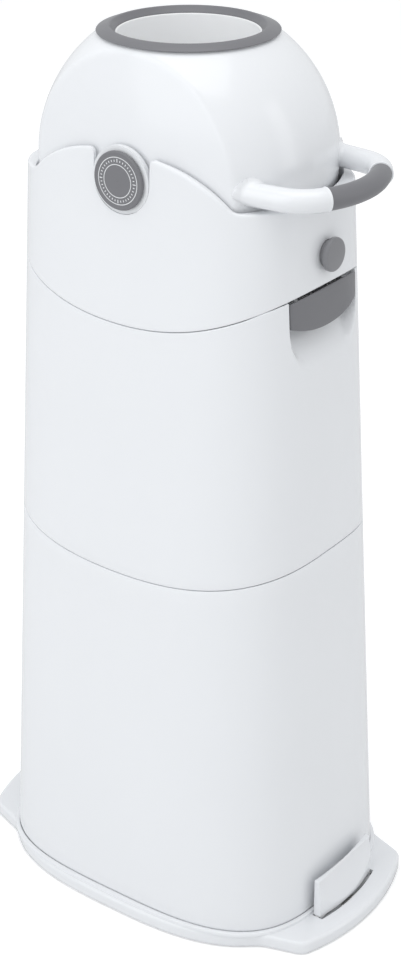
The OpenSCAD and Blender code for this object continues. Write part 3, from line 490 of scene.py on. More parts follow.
def build_upper_body():
    shares = column_shares(upper_angles())
    edge = 0.0008
    step_in = WALL + 0.0008
    lap = step_in + 0.0022
    low = lambda y: lower_seam(y) + HALF_GAP
    high = lambda y: upper_seam(y) - HALF_GAP
    low_end, high_end = (lambda y: low(y) + edge), (lambda y: high(y) - edge)
    level = SCOOP_LOW
    scoop_start = lambda y: level + 0 * y
    rows = rows_from(round_bottom_outer(edge), low)
    rows += rows_between(low_end, scoop_start, 0, np.linspace(0, 1, 22)[1:])
    rows += rows_between(scoop_start, high_end, 0, np.linspace(0, 1, 58)[1:-1])
    rows += rows_from(round_top_outer(edge) + [(0, step_in - 0.0003)], high)
    lip = [(0.0003, step_in), (0.0048, step_in), (0.0053, step_in + 0.0005), (0.0053, lap - 0.0005), (0.0048, lap)]
    lip_rows = [len(rows) + k for k in range(len(lip))]
    rows += rows_from(lip, high)
    rows += rows_from([(-0.004, lap), (-0.007, WALL)], high)
    rows += rows_between(lambda y: high(y) - 0.007, low_end, WALL, np.linspace(0, 1, 34)[1:-1])
    rows += rows_from([(0.007, WALL), (0.004, lap), (-0.008, lap), (-0.008, step_in), (-0.0003, step_in)], low)
    rows += rows_from([(0.0, step_in - 0.0003)], low)
    rings = []
    for k, (height, inset) in enumerate(rows):
        ring = front_row(shares, inset, height, level)
        x = ring[:, 0]
        if k in lip_rows:
            ring[:, 2] -= 0.0056 * smooth_step(np.abs(x), SCOOP_HALF + 0.004, SCOOP_HALF + 0.001) * (ring[:, 1] < 0)
        upper = (ring[:, 1] < 0) * smooth_step(ring[:, 2], high(ring[:, 1]) - 0.006, high(ring[:, 1]) - 0.001)
        opened = FRONT_GAP * smooth_step(np.abs(x), 0.061, 0.052)
        opened += BEHIND_LATCH * smooth_step(np.abs(x), SCOOP_HALF - 0.001, SCOOP_HALF - 0.003)
        ring[:, 2] -= opened * upper
        ratio = np.clip(np.abs(x) / hw(ring[:, 2]), 0, 0.9999)
        outside = np.sign(ring[:, 1]) * hd(ring[:, 2]) * (1 - ratio ** BODY_SQUARE) ** (1 / BODY_SQUARE)
        ring[:, 1] += scoop_depth(x, outside, np.minimum(ring[:, 2], high(ring[:, 1])))
        rings.append(ring)
    obj = loft("upper_body_shell", rings)
    return finish_piece(obj, WHITE, "base", ["upper_body"])


# Lid

def lid_edge(y):
    """Height of the lid's edge at a distance from the middle."""
    y = np.abs(y)
    shoulder_z = CREST_Z - SHOULDER_R
    dip_z = RIM_Z + DIP_R
    dip_y = CREST_HALF + math.sqrt((SHOULDER_R + DIP_R) ** 2 - (dip_z - shoulder_z) ** 2)
    meet = CREST_HALF + (dip_y - CREST_HALF) * SHOULDER_R / (SHOULDER_R + DIP_R)
    shoulder = shoulder_z + np.sqrt(np.maximum(SHOULDER_R ** 2 - (y - CREST_HALF) ** 2, 0))
    dip = dip_z - np.sqrt(np.maximum(DIP_R ** 2 - (y - dip_y) ** 2, 0))
    z = np.where(y < CREST_HALF, CREST_Z, shoulder)
    z = np.where(y > meet, dip, z)
    return np.where(y > dip_y, RIM_Z, z)


def in_drum_space(x, y, z):
    """Whether points are in the space that the drum turns in."""
    across = np.hypot(y, z - PIVOT_Z)
    crease_half = DRUM_HALF - DOME_RISE
    crease_r = math.sqrt(DRUM_R ** 2 - crease_half ** 2)
    lean = (SPACE_HALF - crease_half - 0.0017) / (crease_r - SPACE_FLAT)
    side = SPACE_HALF - lean * np.maximum(across - SPACE_FLAT, 0)
    return (np.hypot(across, x) < SPACE_R) & (np.abs(x) < side)


def space_reach(row, height):
    """Each point of a row moved in towards the middle, to the drum's space, at the height for its new Y."""
    low, high = np.full(len(row), 0.3), np.full(len(row), 1.0)
    for _ in range(30):
        mid = (low + high) / 2
        inside = in_drum_space(row[:, 0] * mid, row[:, 1] * mid, height(row[:, 1] * mid))
        low, high = np.where(inside, mid, low), np.where(inside, high, mid)
    return high


def build_lid():
    shares = column_shares(even_angles(560))
    low = lambda y: upper_seam(y) + HALF_GAP
    edge = 0.0008
    rim_round = 0.0017
    rows = rows_from(round_bottom_outer(edge), low)
    rows += rows_between(lambda y: low(y) + edge, lambda y: lid_edge(y) - rim_round, 0, np.linspace(0, 1, 40)[1:-1])
    rows += rows_from(round_top_outer(rim_round, 6), lid_edge)
    rings = [wall_row(shares, inset, height) for height, inset in rows]
    outer = rings[-1]
    under = lambda y: lid_edge(y) - WALL
    lip = space_reach(outer, lid_edge)
    lip_low = space_reach(outer, under)
    chamfer = 0.0007
    for part, drop in ((0.5, 0), (1 - chamfer / 0.006, 0), (1, chamfer)):
        scale = 1 + (lip - 1) * part
        xy = outer[:, :2] * scale[:, None]
        rings.append(np.column_stack([xy, lid_edge(xy[:, 1]) - drop]))
    xy = outer[:, :2] * lip_low[:, None]
    rings.append(np.column_stack([xy, under(xy[:, 1])]))
    for share in [1.0, *np.linspace(1, 0, 16)[1:]]:
        height = lambda y: low(y) + (under(y) - low(y)) * share
        row = wall_row(shares, WALL, height)
        reach = space_reach(row * [1.06, 1.06, 1], height) * 1.06
        row[:, :2] *= np.maximum(1, np.where(row[:, 2] > PIVOT_Z - 0.06, reach, 0))[:, None]
        rings.append(row)
    obj = loft("lid_cover", rings)
    slot_r = 0.0245
    corner_r = 0.0035
    cutters = []
    for side in (-1, 1):
        x0, x1 = sorted((side * (LID_HW - 0.012), side * (LID_HW + 0.012)))
        turn = np.linspace(-math.pi / 2, 0, 33)
        arch = [(slot_r * math.cos(a), slot_r * math.sin(a)) for a in turn]
        corner = float(lid_edge(slot_r + corner_r)) - PIVOT_Z - corner_r - 0.0004
        arch += [(slot_r + corner_r - corner_r * math.cos(a), corner + corner_r * math.sin(a))
                 for a in np.linspace(0, math.pi / 2, 9)]
        arch += [(slot_r + corner_r, 0.04)]
        arch += [(-y, z) for y, z in arch[:0:-1]]
        ends = [np.array([(x, y, PIVOT_Z + z) for y, z in arch]) for x in (x0, x1)]
        cutters.append(loft("slot", ends, along=False))
    hole_r = BUTTON_NECK_R + 0.00035
    hole = [(0.0004, -0.03), (hole_r, -0.03), (hole_r, 0.03), (0.0004, 0.03)]
    cutters.append(lathe("hole", hole, "y", (0, -hd(BUTTON_Z), BUTTON_Z)))
    cut(obj, cutters, solver="FAST")
    return finish_piece(obj, WHITE, "lid", ["lid_shell"])


# Drum: a ball with domed sides and a rounded crease between them

def drum_reach(slope, inset=0.0):
    """Distance from the pivot to the drum's skin in a direction that rises by slope from its middle plane."""
    crease_half = DRUM_HALF - DOME_RISE
    crease_r = math.sqrt(DRUM_R ** 2 - crease_half ** 2)
    dome_r = (crease_r ** 2 + DOME_RISE ** 2) / (2 * DOME_RISE)
    dome_x = DRUM_HALF - dome_r
    ball, round_r, dome = DRUM_R - inset, CREASE_ROUND - inset, dome_r - inset
    near, far = DRUM_R - CREASE_ROUND, dome_r - CREASE_ROUND
    round_x = (dome_x ** 2 - far ** 2 + near ** 2) / (2 * dome_x)
    round_c = math.sqrt(near ** 2 - round_x ** 2)
    ball_end = math.atan2(round_x, round_c)
    dome_turn = math.atan2(round_x - dome_x, round_c)
    dome_start = math.atan2(dome_x + dome * math.sin(dome_turn), dome * math.cos(dome_turn))
    r_dir, x_dir = np.cos(slope), np.sin(slope)
    along = r_dir * round_c + x_dir * round_x
    crease = along + np.sqrt(np.maximum(round_r ** 2 - (round_c ** 2 + round_x ** 2 - along ** 2), 0))
    lean = x_dir * dome_x
    side = lean + np.sqrt(np.maximum(dome ** 2 - dome_x ** 2 + lean ** 2, 0))
    return np.where(slope < ball_end, ball, np.where(slope < dome_start, crease, side))


def drum_ring(turn, z_over, segments_angle, inset):
    """Points of the drum's skin at an angle from upright, round the upright axis."""
    x, y = np.sin(turn) * np.cos(segments_angle), np.sin(turn) * np.sin(segments_angle)
    z = np.cos(turn) * z_over
    reach = drum_reach(np.arcsin(np.clip(np.abs(x), 0, 1)), inset)
    return np.stack([x * reach, y * reach, z * reach], 1)


def build_drum():
    around = np.linspace(0, 2 * math.pi, 360, endpoint=False)

    def start_turn(flat, inset):
        low, high = np.full(360, 0.2), np.full(360, math.pi / 2)
        for _ in range(30):
            mid = (low + high) / 2
            above = drum_ring(mid, 1, around, inset)[:, 2] > flat
            low, high = np.where(above, mid, low), np.where(above, high, mid)
        return high

    def skin(flat, inset, count):
        first = start_turn(flat, inset)
        shares = np.linspace(0, 1, count)
        return [drum_ring(first + (math.pi - 2 * first) * f, 1, around, inset) for f in shares]

    def circle(radius, z):
        return np.stack([radius * np.cos(around), radius * np.sin(around), np.full(360, z)], 1)

    inner_flat = FLAT_Z - DRUM_WALL
    rings = [circle(CHUTE_HOLE, FLAT_Z)]
    rings += skin(FLAT_Z, 0, 150)
    rings += [circle(CHUTE_HOLE, -FLAT_Z), circle(CHUTE_HOLE, -inner_flat)]
    rings += skin(inner_flat, DRUM_WALL, 60)[::-1]
    rings += [circle(CHUTE_HOLE, inner_flat)]
    obj = loft("drum_ball", [ring + np.array([0, 0, PIVOT_Z]) for ring in rings])
    return finish_piece(obj, WHITE, "drum", ["drum_upper_shell", "drum_lower_shell"])


def build_mouth_rings():
    """Grey rings: a flat top, a wide bevel outside and a funnel inside."""
    top, flat = MOUTH_Z, FLAT_Z
    low = top - FUNNEL
    half = [(CHUTE_HOLE, low), (CHUTE_HOLE, flat), (RING_R - 0.0005, flat), (RING_R - 0.0001, flat + 0.0002),
            (RING_R, flat + 0.0005), (RING_R - 0.0003, flat + 0.0009), (RING_R - 0.0068, top - 0.0005),
            (RING_R - 0.0076, top - 0.0002), (RING_R - 0.0086, top), (0.0559, top), (0.0554, top - 0.0001),
            (0.0550, top - 0.0004), (0.0547, top - 0.0009), (0.0518, low + 0.0008), (0.0514, low + 0.0003), (0.0514, low)]
    for name, side in (("upper_rim_ring", 1), ("lower_rim_ring", -1)):
        profile = [(radius, side * place) for radius, place in half]
        obj = lathe("mouth_ring_" + ("top" if side > 0 else "bottom"), profile, "z", (0, 0, PIVOT_Z), 200, sharp=50)
        finish_piece(obj, GREY, "drum", [name])


def build_chute():
    """The round chute through the drum, with a flange under each flat and a boss on each side for the pivot screw."""
    end = MOUTH_Z - FUNNEL - 0.0001
    flange = FLAT_Z - DRUM_WALL
    soft = 0.0005
    half = [(CHUTE_OUT, flange - 0.002), (CHUTE_OUT + 0.005, flange - 0.002), (CHUTE_OUT + 0.005, flange - 0.0001),
            (CHUTE_OUT, flange - 0.0001), (CHUTE_OUT, end - soft), (CHUTE_OUT - soft, end), (CHUTE_R + soft, end),
            (CHUTE_R, end - soft)]
    profile = half + [(r, -z) for r, z in reversed(half)]
    pieces = [lathe("tube", profile, "z", (0, 0, PIVOT_Z), 200)]
    boss = [(0.0017, 0.0512), (0.009, 0.0512), (0.009, 0.0665), (0.0087, 0.0668), (0.0017, 0.0668)]
    for side in (-1, 1):
        pieces.append(lathe("boss", [(r, side * x) for r, x in boss], "x", (0, 0, PIVOT_Z), 64))
    obj = joined("chute_tube", pieces)
    # The chute takes the lighter white, whose extra lightness is painted light on its shaded inside.
    return finish_piece(obj, WHITE_PAINTED_LIGHT, "drum", ["chute_upper", "chute_lower"])


def build_discs():
    """Grey pivot discs with a fine raised edge, and a plain printed ring with ticks."""
    back = abs(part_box("pivot_cap_right")[0].x) + 0.006
    radius, height, dome = 0.0212, 0.0031, 0.0010
    dome_r = (radius ** 2 + dome ** 2) / (2 * dome)

    def face(r):
        return height - dome_r + math.sqrt(dome_r ** 2 - r ** 2)

    for side, label in ((-1, "left"), (1, "right")):
        outline = [(0.0002, 0), (radius - 0.0004, 0), (radius, 0.0004), (radius, face(radius) - 0.0008),
                   (radius - 0.0003, face(radius) - 0.0002), (radius - 0.0009, face(radius)),
                   (radius - 0.0016, face(radius - 0.0016) - 0.00005), (radius - 0.0019, face(radius - 0.002) - 0.00025)]
        outline += [(r, face(r) - 0.00025) for r in np.linspace(radius - 0.0024, 0.0002, 16)]
        profile = [(r, side * (back + place)) for r, place in outline]
        disc = lathe("pivot_disc_" + label, profile, "x", (0, 0, PIVOT_Z), 160, sharp=50)
        finish_piece(disc, GREY, "drum", ["pivot_cap_" + label])
        marks = []
        for ring_r in (0.0169, 0.0118):
            lift = face(ring_r) - 0.00025
            width = 0.00028
            line = [(ring_r - width, lift - 0.0002), (ring_r + width, lift - 0.0002), (ring_r + width, lift + 0.00006),
                    (ring_r - width, lift + 0.00006)]
            marks.append(lathe("line", [(r, side * (back + place)) for r, place in line], "x", (0, 0, PIVOT_Z), 160))
        for k in range(36):
            turn = 2 * math.pi * k / 36
            long_tick = k % 9 == 0
            r0, r1 = (0.0128, 0.0159) if long_tick else (0.0137, 0.0151)
            half = 0.00032
            lift = back + face((r0 + r1) / 2) - 0.00025
            u, v = np.array([math.cos(turn), math.sin(turn)]), np.array([-math.sin(turn), math.cos(turn)])
            corners = [u * r0 - v * half, u * r1 - v * half, u * r1 + v * half, u * r0 + v * half]
            ends = [np.array([(side * (lift + dx), y, PIVOT_Z + z) for y, z in corners]) for dx in (-0.0002, 0.00006)]
            marks.append(loft("tick", ends, along=False))
        finish_piece(joined("pivot_marks_" + label, marks), MARK, "drum")


# Handle: two arms that grow out of the drum, and a grey sleeve

HANDLE_REACH = 0.1486
HANDLE_ROOT = 0.0555
HANDLE_LIFT = 0.00125
ARM_TURN = math.radians(7)
FRONT_TURN = math.radians(61)
CORNER_R = 0.030
FOOT_TURN = math.radians(-33)
FOOT_BEND = 0.020
COLLAR_W = 0.0016
ARM_R = 0.0084
GRIP_R = 0.0079
GRIP_START = 0.002
ROOT_FILLET = 0.004


def handle_path(step=0.0012):
    """Points of the right half of the handle's middle line, from its foot to the middle of the grip, with turns."""
    root_y = math.sqrt(DRUM_R ** 2 - HANDLE_ROOT ** 2) - 0.004
    corner_dx = CORNER_R * (math.cos(ARM_TURN) - math.cos(FRONT_TURN))
    corner_dy = CORNER_R * (math.sin(FRONT_TURN) - math.sin(ARM_TURN))
    bow_rise = math.tan((math.pi / 2 - FRONT_TURN) / 2)
    arm_l = (HANDLE_REACH - root_y - corner_dy - (HANDLE_ROOT - corner_dx) * bow_rise) / (
        math.cos(ARM_TURN) - math.sin(ARM_TURN) * bow_rise)
    corner_x, corner_y = HANDLE_ROOT - arm_l * math.sin(ARM_TURN), root_y + arm_l * math.cos(ARM_TURN)
    front_r = (corner_x - corner_dx) / math.cos(FRONT_TURN)
    path = []
    for turn in np.linspace(FOOT_TURN, ARM_TURN, max(2, round((ARM_TURN - FOOT_TURN) * FOOT_BEND / step)))[:-1]:
        path.append((HANDLE_ROOT - FOOT_BEND * (math.cos(ARM_TURN) - math.cos(turn)),
                     -root_y + FOOT_BEND * (math.sin(ARM_TURN) - math.sin(turn)), turn))
    for s in [*np.arange(0, 0.012, step / 4), *np.linspace(0.012, arm_l, round(arm_l / step))][:-1]:
        path.append((HANDLE_ROOT - s * math.sin(ARM_TURN), -root_y - s * math.cos(ARM_TURN), ARM_TURN))
    for turn in np.linspace(ARM_TURN, FRONT_TURN, round((FRONT_TURN - ARM_TURN) * CORNER_R / step))[:-1]:
        path.append((corner_x - CORNER_R * (math.cos(ARM_TURN) - math.cos(turn)),
                     -corner_y - CORNER_R * (math.sin(turn) - math.sin(ARM_TURN)), turn))
    grip_turn = FRONT_TURN + GRIP_START / front_r
    turns = list(np.linspace(FRONT_TURN, grip_turn, 5)[:-1])
    split = len(path) + len(turns)
    turns += list(np.linspace(grip_turn, math.pi / 2, round((math.pi / 2 - grip_turn) * front_r / step)))
    for turn in turns:
        path.append((front_r * math.cos(turn), -HANDLE_REACH + front_r * (1 - math.sin(turn)), turn))
    return path, split


def tube(name, stations, sides=40):
    """A tube through stations (x, y, turn, radius) at the handle's height, closed at both ends."""
    k = np.linspace(0, 2 * math.pi, sides, endpoint=False)
    level = PIVOT_Z + HANDLE_LIFT
    rings = [np.stack([x + r * np.cos(k) * math.cos(t), y - r * np.cos(k) * math.sin(t), level + r * np.sin(k)], 1)
             for x, y, t, r in stations]
    return loft(name, rings, along=False)


def ahead(station, distance):
    x, y, turn = station[:3]
    return x - distance * math.sin(turn), y - distance * math.cos(turn), turn


def mirrored(stations):
    return [(-x, y, math.pi - t, r) for x, y, t, r in reversed(stations)]


def root_radius(x, y, turn, sides=40):
    """Radius of the arm on each side of it, with a fillet where it leaves the ball."""
    k = np.linspace(0, 2 * math.pi, sides, endpoint=False)
    px = x + ARM_R * np.cos(k) * math.cos(turn)
    py = y - ARM_R * np.cos(k) * math.sin(turn)
    pz = HANDLE_LIFT + ARM_R * np.sin(k)
    reach = np.sqrt(px ** 2 + py ** 2 + pz ** 2)
    outside = reach - drum_reach(np.arcsin(np.clip(np.abs(px) / reach, 0, 1)))
    near = np.clip(1 - outside / ROOT_FILLET, 0, 1)
    rise = ROOT_FILLET * (1 - np.sqrt(1 - near ** 2)) * np.clip(1 + outside / ROOT_FILLET, 0, 1)
    return ARM_R + rise * smooth_step(np.sin(k), -0.55, 0.1)


def build_handle():
    path, split = handle_path()
    stations = [(x, y, t, root_radius(x, y, t)) for x, y, t in path[:split]]
    last = path[split]
    bead = 0.0005
    for share in np.linspace(0, 1, 9):
        rise = math.sin(math.pi * share) ** 0.6 if 0 < share < 1 else 0
        stations.append((*ahead(last, (share - 0.2) * COLLAR_W), np.full(40, ARM_R + bead * rise)))
    stations.append((*ahead(last, 0.8 * COLLAR_W), np.full(40, ARM_R - 0.002)))
    arms = [tube("arm", stations), tube("arm", mirrored(stations))]
    finish_piece(joined("handle_arms", arms), WHITE, "drum", ["handle_bow"])
    sleeve_path = [p for p in path[split:] if p[0] < last[0] - 0.8 * COLLAR_W * math.sin(last[2])]
    start = ahead(last, 0.8 * COLLAR_W)
    soft = 0.0009
    sleeve = [(*ahead(start, soft * (1 - math.cos(a))), GRIP_R - soft + soft * math.sin(a))
              for a in np.linspace(0, math.pi / 2, 5)]
    sleeve += [(x, y, t, GRIP_R) for x, y, t in sleeve_path if x < sleeve[-1][0] - 0.0002]
    whole = sleeve + mirrored(sleeve[:-1])
    finish_piece(tube("handle_sleeve", whole), GREY, "drum", ["handle_grip"])


# Button and latch

def build_button():
    node_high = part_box("lock_button")[1]
    under = hd(BUTTON_Z) + BUTTON_OUT
    head = under + 0.0044
    back = hd(BUTTON_Z) - WALL - 0.0011
    flange_r = 0.0146
    stem = -node_high.y
    soft = 0.0022
    crown = 0.0006
    crown_r = BUTTON_R - soft
    profile = [(0.0002, stem), (0.0042, stem), (0.0045, stem + 0.0003), (0.0045, back - 0.0015), (flange_r, back - 0.0015),
               (flange_r, back), (BUTTON_NECK_R, back), (BUTTON_NECK_R, under), (BUTTON_R - 0.0004, under),
               (BUTTON_R, under + 0.0004), (BUTTON_R, head - soft)]
    profile += [(crown_r + soft * math.cos(a), head - soft + soft * math.sin(a)) for a in np.linspace(0.15, 1.45, 8)]
    profile += [(r, head + crown * (1 - (r / crown_r) ** 2)) for r in np.linspace(crown_r, 0.0002, 12)]
    obj = lathe("button_face", [(r, -place) for r, place in profile], "y", (0, 0, BUTTON_Z), 128, sharp=50)
    return finish_piece(obj, BUTTON_GREY, "button", ["lock_button"])


def front_y(x, z, out):
    """Y of the body's front at x and z, moved out by an amount."""
    ratio = np.clip(np.abs(x) / (hw(z) + out), 0, 1)
    return -(hd(z) + out) * (1 - ratio ** BODY_SQUARE) ** (1 / BODY_SQUARE)


def latch_low(x):
    bow_r = (LATCH_HALF ** 2 + LATCH_BOW ** 2) / (2 * LATCH_BOW)
    return LATCH_TOP - LATCH_H + bow_r - np.sqrt(bow_r ** 2 - x ** 2)


def build_latch():
    proud = 0.0004
    soft = 0.0011
    xs = np.linspace(-LATCH_HALF, LATCH_HALF, 84)
    end = np.minimum(1, (LATCH_HALF - np.abs(xs)) / soft)
    pull = soft * (1 - np.sqrt(np.maximum(0, 1 - (1 - end) ** 2)))
    front = front_y(xs, LATCH_TOP, proud)
    top = np.minimum(LATCH_TOP, upper_seam(front) - LATCH_GAP)
    low, high = latch_low(xs) + pull, top - pull
    turns = [math.pi / 2 * k / 4 for k in range(5)]
    loop = [(low + soft - soft * math.cos(a), pull + soft - soft * math.sin(a)) for a in turns]
    for f in np.linspace(0, 1, 14)[1:-1]:
        loop.append((low + soft + (high - low - 2 * soft) * f, pull))
    loop += [(high - soft + soft * math.sin(a), pull + soft - soft * math.cos(a)) for a in turns]
    depth = np.full(len(xs), LATCH_THICK)
    back = np.minimum(high, upper_seam(front + LATCH_THICK) - LATCH_GAP)
    loop.append((back, depth - 0.0004))
    loop.append((back - 0.0004, depth))
    for f in np.linspace(0, 1, 8)[1:-1]:
        loop.append((back - 0.0004 - (back - low - 0.0008) * f, depth))
    loop.append((low + 0.0004, depth))
    loop.append((low, depth - 0.0004))
    rings = []
    for j, x in enumerate(xs):
        rings.append(np.array([(x, front_y(x, z[j], proud) + inset[j], z[j]) for z, inset in loop]))
    panel = loft("panel", rings, along=False)
    pin_low, pin_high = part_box("latch_pin")
    pin_y, pin_z = (pin_low.y + pin_high.y) / 2, (pin_low.z + pin_high.z) / 2
    hub_r = 0.003
    pieces = [panel]
    for x0, x1 in ((-0.0275, -0.0235), (0.0235, 0.0275), (-0.008, 0.008)):
        pieces.append(rod_x("hub", hub_r, x0, x1, pin_y, pin_z))
        pieces.append(box("web", (x0 + 0.0002, -hd(pin_z) + 0.0022, pin_z - hub_r), (x1 - 0.0002, pin_y, pin_z + 0.002)))
    strike = LATCH_TOP + 0.0046 + 0.0005
    top = LATCH_TOP + 0.0076
    hook = [(-0.001, pin_z), (0.003, pin_z), (0.003, top - 0.0015), (0.0015, top), (-0.0004, top - 0.002),
            (-0.0004, strike), (0.0006, strike), (0.0006, LATCH_TOP - 0.0004)]
    ends = [np.array([(x, pin_y + y, z) for y, z in hook]) for x in (-0.0078, 0.0078)]
    pieces.append(loft("hook", ends, along=False))
    return finish_piece(joined("latch_panel", pieces), GREY, "latch", ["latch"])


def build_small_body_parts():
    """Lugs for the latch's pin and knuckles for the lid's hinge."""
    pin_low, pin_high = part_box("latch_pin")
    pin_y, pin_z = (pin_low.y + pin_high.y) / 2, (pin_low.z + pin_high.z) / 2
    lugs = []
    for side in (-1, 1):
        x0, x1 = sorted((side * 0.028, side * 0.032))
        lugs.append(rod_x("lug", 0.0028, x0, x1, pin_y, pin_z))
        lugs.append(box("lug", (x0, pin_y, pin_z - 0.003), (x1, SCOOP_Y + SCOOP_R + 0.001, pin_z + 0.003)))
    finish_piece(joined("latch_lugs", lugs), WHITE_FLAT, "base")
    hinge_low, hinge_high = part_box("hinge_pin")
    y, z = (hinge_low.y + hinge_high.y) / 2, (hinge_low.z + hinge_high.z) / 2
    knuckle_r = 0.0054
    wall_in = 0.0038

    def knuckle(x0, x1, up):
        web = [(-wall_in, 0), (knuckle_r - 0.0006, 0), (-wall_in + 0.0005, up * 0.015)]
        ends = [np.array([(x, y + dy, z + dz) for dy, dz in web]) for x in (x0 + 0.0002, x1 - 0.0002)]
        return [rod_x("barrel", knuckle_r, x0, x1, y, z), loft("web", ends, along=False)]

    body = knuckle(-0.024, -0.010, -1) + knuckle(0.010, 0.024, -1)
    finish_piece(joined("hinge_knuckles_body", body), WHITE, "base")
    finish_piece(joined("hinge_knuckle_lid", knuckle(-0.0098, 0.0098, 1)), WHITE, "lid")
    strike = (LATCH_TOP + 0.0026, LATCH_TOP + 0.0046)
    obj = box("latch_strike", (-0.009, -hd(strike[1]) + 0.0015, strike[0]), (0.009, pin_y - 0.001, strike[1]))
    finish_piece(bevel(obj, 0.0003), WHITE_FLAT, "lid")


# Base plate with its tabs, collar and ribs

BASE_HW = hw(BASE_H) + BASE_OUT
BASE_HD = hd(BASE_H) + 0.0056


def base_reach(angles):
    """Distance from the middle to the base plate's edge, over the oval and the two tabs."""
    c, s = np.abs(np.cos(angles)), np.abs(np.sin(angles))
    oval = ((c / BASE_HW) ** BASE_SQUARE + (s / BASE_HD) ** BASE_SQUARE) ** (-1 / BASE_SQUARE)
    root = np.array([TAB_ROOT_X, BASE_HD - 0.022])
    side = np.array([math.cos(TAB_TILT), math.sin(TAB_TILT)])
    off = root @ side
    corner_turn = math.asin((off - TAB_ROUND) / (TAB_REACH - TAB_ROUND)) - TAB_TILT
    corner = (TAB_REACH - TAB_ROUND) * np.array([math.sin(corner_turn), math.cos(corner_turn)])
    straight = off / np.maximum(c * side[0] + s * side[1], 1e-6)
    along = c * corner[0] + s * corner[1]
    rounded = along + np.sqrt(np.maximum(TAB_ROUND ** 2 - (corner @ corner - along ** 2), 0))
    from_front = np.arctan2(c, s)
    side_at = corner + TAB_ROUND * side
    side_turn = math.atan2(side_at[0], side_at[1])
    tab = np.where(from_front < corner_turn, TAB_REACH, np.where(from_front < side_turn, rounded, straight))
    tab = np.where(from_front > math.radians(60), 0, tab)
    blend = 0.004
    step = np.clip(0.5 + (tab - oval) / (2 * blend), 0, 1)
    return oval * (1 - step) + tab * step + blend * step * (1 - step)


def clip_slot(side):
    """Cutter for a clip's slot: between its inner arc and its outer arc."""
    xs = np.linspace(-CLIP_HALF - 0.0007, CLIP_HALF + 0.0007, 33)
    inner = CLIP_IN_R - CLIP_IN_Y - np.sqrt((CLIP_IN_R - 0.0005) ** 2 - xs ** 2)
    outer = -np.sqrt((CLIP_OUT_R + CLIP_GAP) ** 2 - xs ** 2)
    outline = [(x, y) for x, y in zip(xs, inner)] + [(x, y) for x, y in zip(xs[::-1], outer[::-1])]
    ends = [np.array([(x, -side * y, z) for x, y in outline]) for z in (-0.01, 0.04)]
    return loft("slot", ends, along=False)


CLIP_GAP = 0.0026
CLIP_OUT_R = TAB_REACH - 0.0176 - CLIP_GAP + 0.0018
CLIP_IN_Y = hd(BASE_H) + 0.0063


def build_base():
    angles = even_angles(480)
    edge_reach = base_reach(angles)
    direction = np.stack([np.cos(angles), np.sin(angles)], 1)
    skirt, plate, foot = 0.003, 0.003, 0.001

    def ring(reach, z):
        return np.column_stack([direction * np.asarray(reach)[..., None], np.full(len(angles), z)])

    def oval_ring(out, z):
        a, b = hw(BASE_H) + out, hd(BASE_H) + out
        reach = ((np.abs(direction[:, 0]) / a) ** BODY_SQUARE + (np.abs(direction[:, 1]) / b) ** BODY_SQUARE)
        return ring(reach ** (-1 / BODY_SQUARE), z)

    soft = 0.0028
    collar_top = BASE_H + 0.0026
    rings = [oval_ring(-0.0995, BASE_H), oval_ring(-0.02, BASE_H), oval_ring(-0.0001, BASE_H),
             oval_ring(-0.0001, collar_top - 0.0002), oval_ring(0.0001, collar_top), oval_ring(0.0021, collar_top),
             oval_ring(0.0026, collar_top - 0.0003), oval_ring(0.0028, collar_top - 0.0008), oval_ring(0.0030, BASE_H)]
    turns = [math.pi / 2 * k / 6 for k in range(7)]
    rings += [ring(edge_reach - soft + soft * math.sin(a), BASE_H - soft + soft * math.cos(a)) for a in turns]
    rings += [ring(edge_reach, z) for z in np.linspace(BASE_H - soft, foot + 0.0008, 4)[1:]]
    rings += [ring(edge_reach - 0.0006, foot), ring(edge_reach - skirt + 0.0004, foot), ring(edge_reach - skirt, foot + 0.0004),
              ring(edge_reach - skirt, BASE_H - plate), oval_ring(-0.0995, BASE_H - plate)]
    top = loft("base_foot_plate", rings)
    cut(top, [clip_slot(-1), clip_slot(1)])
    finish_piece(top, WHITE, "base", ["base_plate"])


def build_base_underside():
    """Ribs under the plate, bosses round the feet and the lap that locates the body."""
    a, b = BASE_HW - 0.002, BASE_HD - 0.012
    low, high, half = 0.002, BASE_H - 0.0028, 0.001
    pieces = []
    for k in range(-3, 4):
        at = k * 0.04
        if abs(at) < a:
            end = b * (1 - (abs(at) / a) ** BASE_SQUARE) ** (1 / BASE_SQUARE)
            pieces.append(box("rib", (at - half, -end, low), (at + half, end, high)))
        end = a * (1 - (abs(at) / b) ** BASE_SQUARE) ** (1 / BASE_SQUARE)
        pieces.append(box("rib", (-end, at - half, low), (end, at + half, high)))
    feet_low, feet_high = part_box("rubber_feet")
    foot_r = 0.009
    foot_x, foot_y = feet_high.x - foot_r, feet_high.y - foot_r
    socket = [(foot_r + 0.0001, low), (foot_r + 0.0022, low), (foot_r + 0.0025, low + 0.0003), (foot_r + 0.0025, high),
              (foot_r + 0.0001, high)]
    for x in (-foot_x, foot_x):
        for y in (-foot_y, foot_y):
            pieces.append(lathe("boss", socket, "z", (x, y, 0), 64))
    angles = even_angles(240)
    rings = []
    for out, z in ((-0.0062, BASE_H), (-0.004, BASE_H), (-0.004, BASE_H + 0.0095), (-0.0046, BASE_H + 0.01),
                   (-0.0057, BASE_H + 0.01), (-0.0062, BASE_H + 0.0095)):
        reach = (np.abs(np.cos(angles)) / (hw(BASE_H) + out)) ** BODY_SQUARE
        reach = (reach + (np.abs(np.sin(angles)) / (hd(BASE_H) + out)) ** BODY_SQUARE) ** (-1 / BODY_SQUARE)
        rings.append(np.column_stack([reach * np.cos(angles), reach * np.sin(angles), np.full(240, z)]))
    pieces.append(loft("lap", rings))
    return finish_piece(joined("base_ribs", pieces), WHITE_FLAT, "base")


